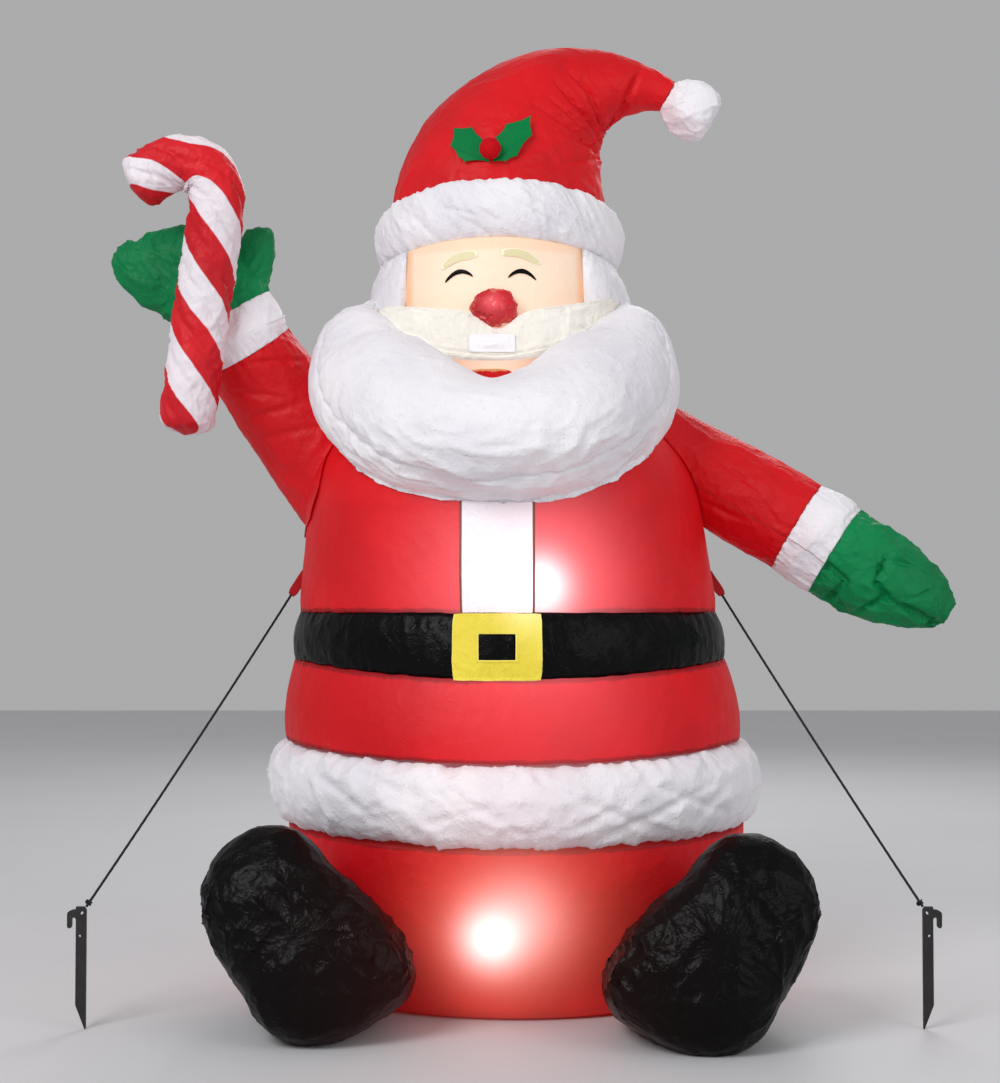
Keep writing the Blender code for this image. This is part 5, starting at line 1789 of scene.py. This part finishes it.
# Rings of the arms from the neck: x, y, z, half width and half depth.
LOWERED_ROWS = {
    ArmPiece.SLEEVE: (
        (0.1746, 0.000, -0.0300, 0.060, 0.064),
        (0.2511, 0.000, -0.0733, 0.060, 0.062),
        (0.3196, -0.016, -0.1125, 0.062, 0.062),
    ),
    ArmPiece.CUFF: ((0.3816, -0.030, -0.1500, 0.063, 0.063), (0.4066, -0.035, -0.1665, 0.066, 0.066)),
    ArmPiece.MITTEN: (
        (0.4276, -0.040, -0.1825, 0.0630, 0.058),
        (0.4735, -0.050, -0.2095, 0.0600, 0.050),
        (0.5156, -0.058, -0.2312, 0.0510, 0.040),
        (0.5496, -0.066, -0.2510, 0.0330, 0.028),
        (0.5676, -0.070, -0.2620, 0.0150, 0.013),
    ),
}
RAISED_ROWS = {
    ArmPiece.SLEEVE: (
        (-0.1804, 0.000, -0.1150, 0.078, 0.078),
        (-0.2284, 0.000, -0.0550, 0.075, 0.075),
        (-0.2924, -0.015, 0.0260, 0.065, 0.065),
    ),
    ArmPiece.CUFF: ((-0.3253, -0.032, 0.0755, 0.0605, 0.0605), (-0.3364, -0.038, 0.1000, 0.062, 0.062)),
    ArmPiece.MITTEN: (
        (-0.3445, -0.043, 0.1247, 0.0575, 0.050),
        (-0.3684, -0.046, 0.1540, 0.0610, 0.042),
        (-0.4074, -0.048, 0.1745, 0.0630, 0.036),
        (-0.4464, -0.048, 0.1830, 0.0500, 0.030),
        (-0.4744, -0.048, 0.1960, 0.0330, 0.021),
        (-0.4864, -0.048, 0.2080, 0.0150, 0.011),
    ),
}
LOWERED_FOLDS = {
    ArmPiece.SLEEVE: (
        ((0.2484, 0.6703), (0.3042, 0.6257), 0.003, 0.003),
        ((0.2712, 0.6321), (0.3220, 0.6512), 0.002, 0.003),
        ((0.2331, 0.6130), (0.2839, 0.5875), 0.003, 0.003),
        ((0.3093, 0.6130), (0.3284, 0.5812), 0.0025, 0.0025),
    ),
    ArmPiece.MITTEN: (
        ((0.4618, 0.5381), (0.4480, 0.5087), 0.01, 0.0045),
        ((0.4480, 0.5087), (0.4630, 0.4900), 0.009, 0.004),
        ((0.4630, 0.4900), (0.4283, 0.4692), 0.009, 0.004),
        ((0.4555, 0.4900), (0.5348, 0.4517), 0.009, 0.0045),
        ((0.3803, 0.5359), (0.4116, 0.5087), 0.009, 0.005),
        ((0.4116, 0.5087), (0.3928, 0.4817), 0.008, 0.005),
        ((0.4639, 0.5368), (0.5015, 0.5275), 0.004, 0.003),
        ((0.4843, 0.4821), (0.5269, 0.5021), 0.003, 0.003),
        ((0.3853, 0.4983), (0.4179, 0.4708), 0.006, 0.004),
    ),
}
RAISED_FOLDS = {
    ArmPiece.SLEEVE: (
        ((-0.3558, 0.7802), (-0.2736, 0.7929), 0.003, 0.0035),
        ((-0.3596, 0.7496), (-0.2926, 0.7420), 0.003, 0.0035),
        ((-0.3495, 0.7140), (-0.2736, 0.7331), 0.0035, 0.0035),
        ((-0.3217, 0.8095), (-0.2736, 0.7751), 0.0025, 0.003),
        ((-0.3369, 0.6886), (-0.2357, 0.7076), 0.003, 0.0035),
    ),
}
RAISED_THUMB = (
    (-0.3354, -0.044, 0.1430, 0.034, 0.030),
    (-0.3234, -0.045, 0.1800, 0.029, 0.026),
    (-0.3144, -0.046, 0.2060, 0.025, 0.022),
    (-0.3089, -0.046, 0.2260, 0.018, 0.015),
    (-0.3084, -0.046, 0.2330, 0.009, 0.007),
)


@dataclass
class CandyCane:
    """The candy cane: a puffed tube with a tight hook, sewn of two spiral stripes."""

    levels: Levels
    trunk: Trunk
    radius: float = 0.0347
    y: float = -0.120
    rows: tuple[tuple[float, float], ...] = (
        (-0.3890, -0.0200),
        (-0.3769, 0.0713),
        (-0.3682, 0.1394),
        (-0.3569, 0.2150),
        (-0.3540, 0.2560),
        (-0.3640, 0.2870),
        (-0.3880, 0.3000),
        (-0.4180, 0.2950),
        (-0.4450, 0.2790),
    )
    end_length: float = 0.019
    stripe_step: float = 0.110
    starts: int = 2
    turn_back: float = 0.357
    inner_bend: tuple[float, float] = (-0.412, 0.996)

    def build(self) -> None:
        """Loft the tube, pinch its stripe seams and dress it."""
        table = np.array(self.rows)
        fine = smooth_rows(table, 26)
        steps = np.linspace(0.02, 1, 10) * self.end_length
        foot, tip = unit(fine[0] - fine[1]), unit(fine[-1] - fine[-2])
        path = np.vstack([fine[0] + foot * steps[::-1, None], fine, fine[-1] + tip * steps[:, None]])
        ends = np.sqrt(np.clip(1 - (steps / self.end_length) ** 2.4, 0.004, 1))
        share = np.concatenate([ends[::-1], np.ones(len(fine)), ends])
        flat = stacked(path[:, 0] + self.trunk.neck_x, self.y, path[:, 1] + self.levels.neck)
        _, across, through = path_frames(flat)
        skin = ring_skin(flat, across, through, self.radius * share, self.radius * share, 120)
        beyond = skin.cloth[..., 2] - self.turn_back
        length = skin.cloth[..., 2] - 1.12 * (beyond + np.hypot(beyond, 0.012)) - 0.006
        phase = length / self.stripe_step + self.starts * skin.turns()[None]
        seam = np.abs((2 * phase + 0.5) % 1 - 0.5) * self.stripe_step / 2
        skin.puff(-0.0026 * bell(seam, 0.006) * share[:, None])
        off = skin.points[..., [0, 2]] - np.array(self.inner_bend)
        far, slope = np.hypot(off[..., 0], off[..., 1]), np.arctan2(off[..., 1], off[..., 0])
        skin.crinkle(0.034, 0.0036, 181, np.clip(far / 0.03 - 0.3, 0, 1))
        fan = creases(stacked(slope * 0.03, far * 0.3, skin.points[..., 1] * 0.3), 0.012, 185, 2)
        skin.puff(-0.0040 * np.exp(-far / 0.025) * fan)
        skin.cloth[..., 2] = length
        dress(air_filled(skin.build("candy_cane")), self.material())

    def material(self) -> bpy.types.Material:
        """Red and white stripes: turn and length along the tube give the phase of the spiral."""
        made = Nylon("striped_sewn_nylon", (206, 22, 34), (180, 12, 26), fold_strength=0.45, inner=0.08)
        nodes = made.nodes()
        length = nodes.maths("DIVIDE", nodes.uv("Y"), self.stripe_step)
        phase = nodes.maths("ADD", length, nodes.maths("MULTIPLY", nodes.uv("X"), float(self.starts)))
        wobble = nodes.maths("MULTIPLY_ADD", nodes.noise(14, 2), 0.10, -0.05)
        wave = nodes.maths("FRACT", nodes.maths("ADD", nodes.maths("ADD", phase, wobble), 20.0))
        share = nodes.reach(nodes.away(wave, 0.5), 0.238, 0.262)
        white = nodes.blend(nodes.noise(9, 2), tone(232, 229, 234), tone(212, 208, 216))
        nodes.finish("Base Color", nodes.blend(share, nodes.dyed, white))
        return nodes.material


@dataclass
class Boots:
    """The boots: soft soles turned to the front, running back into the seat."""

    trunk: Trunk
    wardrobe: Wardrobe
    outline: tuple[float, ...] = (
        0.140, 0.1315, 0.092, 0.088, 0.104, 0.1335, 0.1206, 0.117, 0.107, 0.090, 0.097, 0.124,
    )
    front: float = 0.070
    back: float = 0.190
    tip_back: float = 16
    fullness: float = 2.6
    places: dict[Side, tuple[tuple[float, float, float], float]] = field(
        default_factory=lambda: {
            Side.LEFT: ((-0.2395, -0.345, 0.1085), -41.0),
            Side.RIGHT: ((0.2155, -0.375, 0.1015), 39.0),
        }
    )
    rings: int = 96
    sides: int = 220

    def sole_radius(self, turn: Array) -> Array:
        """The outline's radius at a turn from the toe: a smooth cubic through its twelve values."""
        table = np.array(self.outline)
        place = turn / (2 * np.pi) * len(table)
        first = np.floor(place).astype(int) % len(table)
        t = place - np.floor(place)
        return cubic(*(table[(first + step) % len(table)] for step in (-1, 0, 1, 2)), t)

    def skin(self, side: Side) -> Skin:
        """One boot: its outline carried from the sole back into the seat, (1 - depth^k)^(1/k) wide."""
        centre, swing = self.places[side]
        lift = np.linspace(-1, 1, self.rings)
        t = np.sign(lift) * (1 - (1 - np.abs(lift)) ** 1.8) * 0.99999
        depth = np.where(t < 0, self.front, self.back) * t
        share = (1 - np.abs(t) ** self.fullness) ** (1 / self.fullness)
        turn = whole_turn(self.sides)
        radius = share[:, None] * self.sole_radius(turn)[None]
        x = -side.value * radius * np.sin(turn)[None]
        z = radius * np.cos(turn)[None]
        y = depth[:, None]
        a, b = math.radians(swing), math.radians(-self.tip_back)
        x, z = x * math.cos(a) + z * math.sin(a), z * math.cos(a) - x * math.sin(a)
        y, z = y * math.cos(b) - z * math.sin(b), y * math.sin(b) + z * math.cos(b)
        points = stacked(x, y, z) + np.array(centre)
        return Skin(points, points - np.array(centre))

    def build(self) -> None:
        """Crumple, seat and dress both boots."""
        for side in Side:
            skin = self.skin(side)
            seed = 200 + 20 * side.value
            cloth = skin.cloth
            band = bell(cloth[..., 2] - 0.25 * cloth[..., 0] * side.value - 0.02, 0.050)
            skin.puff(0.0022 * lattice_noise(cloth / 0.07, seed))
            away = np.linalg.norm(skin.points - skin.points.mean(1, keepdims=True), axis=-1)
            band = (0.3 + 0.7 * band) * np.clip(away / 0.035 - 0.15, 0, 1)
            skin.crinkle(0.060, 0.0064, seed + 1, band, 2)
            skin.crinkle(0.024, 0.0026, seed + 2, band, 2)
            skin.puff(np.full(cloth.shape[:2], -0.0030))
            skin.points = self.trunk.push_out(skin.points, 0.0010)
            skin.points[..., 2] = np.maximum(skin.points[..., 2], 0.0)
            self.wardrobe.puffed(skin, f"{side.word}_boot", Finish.BLACK)


@dataclass
class Tethers:
    """Guy lines: a webbing tab on each side of the coat, the cord, its knot and the stake."""

    trunk: Trunk
    tab_size: tuple[float, float, float] = (0.012, 0.040, 0.0018)
    tab_height: float = 0.050
    tab_twist: float = 75
    line_diameter: float = 0.003
    line_sag: float = 0.003
    strand_length: float = 0.012
    stake_length: float = 0.1375
    stake_width: float = 0.0116
    stake_y: float = -0.295
    stake_x: dict[Side, float] = field(default_factory=lambda: {Side.LEFT: -0.4959, Side.RIGHT: 0.4646})
    corner_cut: tuple[float, float] = (0.0026, 0.0035)
    gap: float = 0.0003
    points: int = 120

    def ends(self, side: Side) -> tuple[Array, Array, Array]:
        """Root of the tab on the coat, start of the line and its end at the stake."""
        sign = side.value
        z = self.trunk.levels.chest + self.tab_height
        radius = float(self.trunk.radius(np.array(z)))
        root = np.array((sign * radius + float(self.trunk.drift(np.array(z))), 0, z))
        corner = -sign * (self.stake_width / 2 - self.corner_cut[0] / 2)
        top = self.stake_length - self.corner_cut[1] / 2
        foot = np.array((self.stake_x[side] + corner, self.stake_y, top))
        pull = unit(foot - root)
        start = root + pull * (self.tab_size[1] - self.tab_size[2] + self.gap)
        stop = foot - pull * (self.line_diameter / 2 + 2 * self.gap)
        return root, start, stop

    def line_path(self, side: Side) -> Array:
        """The line's own points: straight from tab to stake, with a sag of 4 * sag * t * (1 - t)."""
        _, start, stop = self.ends(side)
        t = np.linspace(0, 1, self.points)[:, None]
        path = start + (stop - start) * t
        path[:, 2] -= 4 * self.line_sag * t[:, 0] * (1 - t[:, 0])
        return path

    def lines(self) -> None:
        """Both cords: a laid tube whose strands show as low ridges, tied at the stake."""
        material = self.cord_material()
        for side in Side:
            path = self.line_path(side)
            along, across, through = path_frames(path)
            half = self.line_diameter / 2
            skin = ring_skin(path, across, through, half, half, 16)
            twist = skin.cloth[..., 2] * 2 * np.pi / self.strand_length
            skin.puff(0.00012 * np.cos(3 * whole_turn(16)[None] + twist))
            line = dress(skin.build(f"{side.word}_guy_line"), material)
            knot = self.knot(side, path[-1], along[-1], material)
            tuple(path[0])

    def knot(self, side: Side, end: Array, pull: Array, material: bpy.types.Material) -> bpy.types.Object:
        """A small overhand knot: a cord wound round the line as a three-lobed loop."""
        t = whole_turn(90)
        local = stacked(np.sin(t) + 2 * np.sin(2 * t), np.cos(t) - 2 * np.cos(2 * t), -np.sin(3 * t))
        local *= 0.00115
        up = unit(np.cross(pull, BACK))
        side_way = np.cross(up, pull)
        places = end - pull * 0.0055 + local @ np.stack([side_way, up, pull])
        along = unit(np.roll(places, -1, 0) - np.roll(places, 1, 0))
        through = unit(np.cross(along, unit(places - places.mean(0) + 1e-5)))
        across = np.cross(through, along)
        skin = ring_skin(places, across, through, 0.0012, 0.0012, 12, looped=True)
        return dress(skin.build(f"{side.word}_line_knot"), material, for_node=False)

    @staticmethod
    def cord_material() -> bpy.types.Material:
        """Black braided cord: slanting strands from turn and length along the cord."""
        nodes = Nodes("black_braided_cord")
        length = nodes.maths("MULTIPLY", nodes.uv("Y"), 500.0)
        turn = nodes.maths("MULTIPLY", nodes.uv("X"), 8 * math.pi)
        braid = nodes.maths("SINE", nodes.maths("ADD", length, turn))
        other = nodes.maths("SINE", nodes.maths("SUBTRACT", length, turn))
        height = nodes.maths("MAXIMUM", braid, other)
        share = nodes.reach(height, 0.0, 1.0)
        nodes.finish("Base Color", nodes.blend(share, tone(6, 6, 7), tone(22, 22, 24)))
        nodes.finish("Normal", nodes.bump(height, 0.0003, 0.6))
        nodes.finish("Roughness", 0.75)
        return nodes.material

    def tabs(self) -> None:
        """Both webbing tabs: a flat strap with rounded edges and a woven face."""
        nodes = Nodes("red_woven_webbing")
        along = nodes.maths("SINE", nodes.maths("MULTIPLY", nodes.uv("Y"), 3200.0))
        turn = nodes.maths("SINE", nodes.maths("MULTIPLY", nodes.uv("X"), 90.0))
        height = nodes.maths("MULTIPLY", along, turn)
        share = nodes.reach(height, -0.6, 0.8)
        nodes.finish("Base Color", nodes.blend(share, tone(150, 10, 22), tone(204, 24, 36)))
        nodes.finish("Normal", nodes.bump(height, 0.0004, 0.5))
        nodes.finish("Roughness", 0.7)
        width, length, thick = self.tab_size
        for side in Side:
            root, start, _ = self.ends(side)
            pull = unit(start - root)
            edge_on = unit(BACK - pull * pull[1])
            twist = math.radians(self.tab_twist)
            across = edge_on * math.cos(twist) + np.cross(pull, edge_on) * math.sin(twist)
            t = np.linspace(0, 1, 60)
            places = root + pull * (-thick + (length + 0.0004) * t[:, None])
            through = np.cross(across, pull)
            places = places + through * (0.0012 * np.sin(2.2 * np.pi * t) * (1 - t))[:, None]
            narrow = 1 - 0.35 * np.clip((t - 0.8) / 0.2, 0, 1) ** 1.5
            skin = ring_skin(places, across, through, width / 2 * narrow, thick / 2, 40, power=5)
            skin.points = self.trunk.push_out(skin.points, -0.0030)
            dress(skin.build(f"{side.word}_tether_tab"), nodes.material)

    def stakes(self) -> None:
        """The stakes keep their CAD shape and get moulded plastic."""
        nodes = Nodes("black_moulded_plastic")
        scuffs = nodes.reach(nodes.noise(60, 4, 0.5), 0.45, 0.75)
        nodes.finish("Base Color", nodes.blend(scuffs, tone(20, 20, 21), tone(34, 34, 36)))
        grain = nodes.noise(1400, 2)
        nodes.finish("Normal", nodes.bump(grain, 0.0003, 0.25))
        nodes.finish("Roughness", nodes.maths("MULTIPLY_ADD", nodes.noise(90, 3), 0.25, 0.36))
        for side in Side:
            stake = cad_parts[f"{side.word}_stake"]
            stake.data.materials.clear()
            stake.data.materials.append(nodes.material)

    def build(self) -> None:
        """Build and dress the tethers."""
        self.lines()
        self.tabs()
        self.stakes()


@dataclass
class Studio:
    """A pale floor, soft lights and the camera at the photograph's angle."""

    camera_place: Place = (-0.0208, -2.4, 0.4797)
    camera_lift: float = 1.97
    focal_share: float = 1843 / 1083
    sensor: float = 36.0
    light_target: Place = (0.0, 0.0, 0.6)

    def camera(self) -> None:
        """The camera; the focal length is a share of the picture's longer side."""
        data = bpy.data.cameras.new("camera")
        data.sensor_width = self.sensor
        data.lens = self.focal_share * self.sensor
        camera = bpy.data.objects.new("camera", data)
        camera.location = self.camera_place
        camera.rotation_euler = (math.radians(90 + self.camera_lift), 0, 0)
        bpy.context.scene.collection.objects.link(camera)
        bpy.context.scene.camera = camera

    def light(self, name: str, place: Place, size: float, watts: float) -> None:
        """A square soft light that looks at the figure's middle."""
        data = bpy.data.lights.new(name, "AREA")
        data.size = size
        data.energy = watts
        light = bpy.data.objects.new(name, data)
        light.location = place
        way = Vector(self.light_target) - Vector(place)
        light.rotation_euler = way.to_track_quat("-Z", "Y").to_euler()
        bpy.context.scene.collection.objects.link(light)

    def set_up(self) -> None:
        """The floor, the background and the lights."""
        scene = bpy.context.scene
        scene.view_settings.view_transform = "Standard"
        world = bpy.data.worlds.new("studio")
        world.use_nodes = True
        world.node_tree.nodes["Background"].inputs[0].default_value = (0.82, 0.82, 0.83, 1)
        world.node_tree.nodes["Background"].inputs[1].default_value = 0.50
        scene.world = world
        self.light("key", (-1.6, -2.6, 2.3), 1.4, 62)
        self.light("fill", (2.2, -2.2, 1.4), 2.0, 22)
        self.light("back", (0.6, 2.4, 2.4), 1.6, 30)
        t = np.linspace(-6, 6, 3)
        x, y = np.meshgrid(t, t, indexing="ij")
        verts = stacked(x, y, -0.0002).reshape(-1, 3)
        faces = [(0, 3, 4, 1), (1, 4, 5, 2), (3, 6, 7, 4), (4, 7, 8, 5)]
        mesh = bpy.data.meshes.new("studio_floor")
        mesh.from_pydata(verts.tolist(), [], faces)
        floor = bpy.data.objects.new("studio_floor", mesh)
        scene.collection.objects.link(floor)
        nodes = Nodes("pale_floor")
        nodes.finish("Base Color", nodes.blend(nodes.noise(3, 2), tone(214, 214, 216), tone(206, 206, 209)))
        nodes.finish("Roughness", 0.6)
        mesh.materials.append(nodes.material)


def main() -> None:
    """Build the figure from its sub-assemblies."""
    logging.basicConfig(level=logging.INFO, format="%(name)s %(message)s")
    studio = Studio()
    studio.camera()
    levels = Levels.from_frame()
    wardrobe = Wardrobe(levels)
    trunk = Trunk(levels, wardrobe)
    Tethers(trunk).build()
    trunk.build()
    head = Head(levels, trunk, wardrobe)
    head.build()
    Beard(levels, trunk, head, wardrobe).build()
    Hat(levels, trunk, wardrobe).build()
    Arm(levels, trunk, wardrobe, "lowered", LOWERED_ROWS, LOWERED_FOLDS, 300, seam_turn=0.817).build()
    Arm(levels, trunk, wardrobe, "raised", RAISED_ROWS, RAISED_FOLDS, 400, thumb=RAISED_THUMB).build()
    CandyCane(levels, trunk).build()
    Boots(trunk, wardrobe).build()
    studio.set_up()


if __name__ == "__main__":
    main()
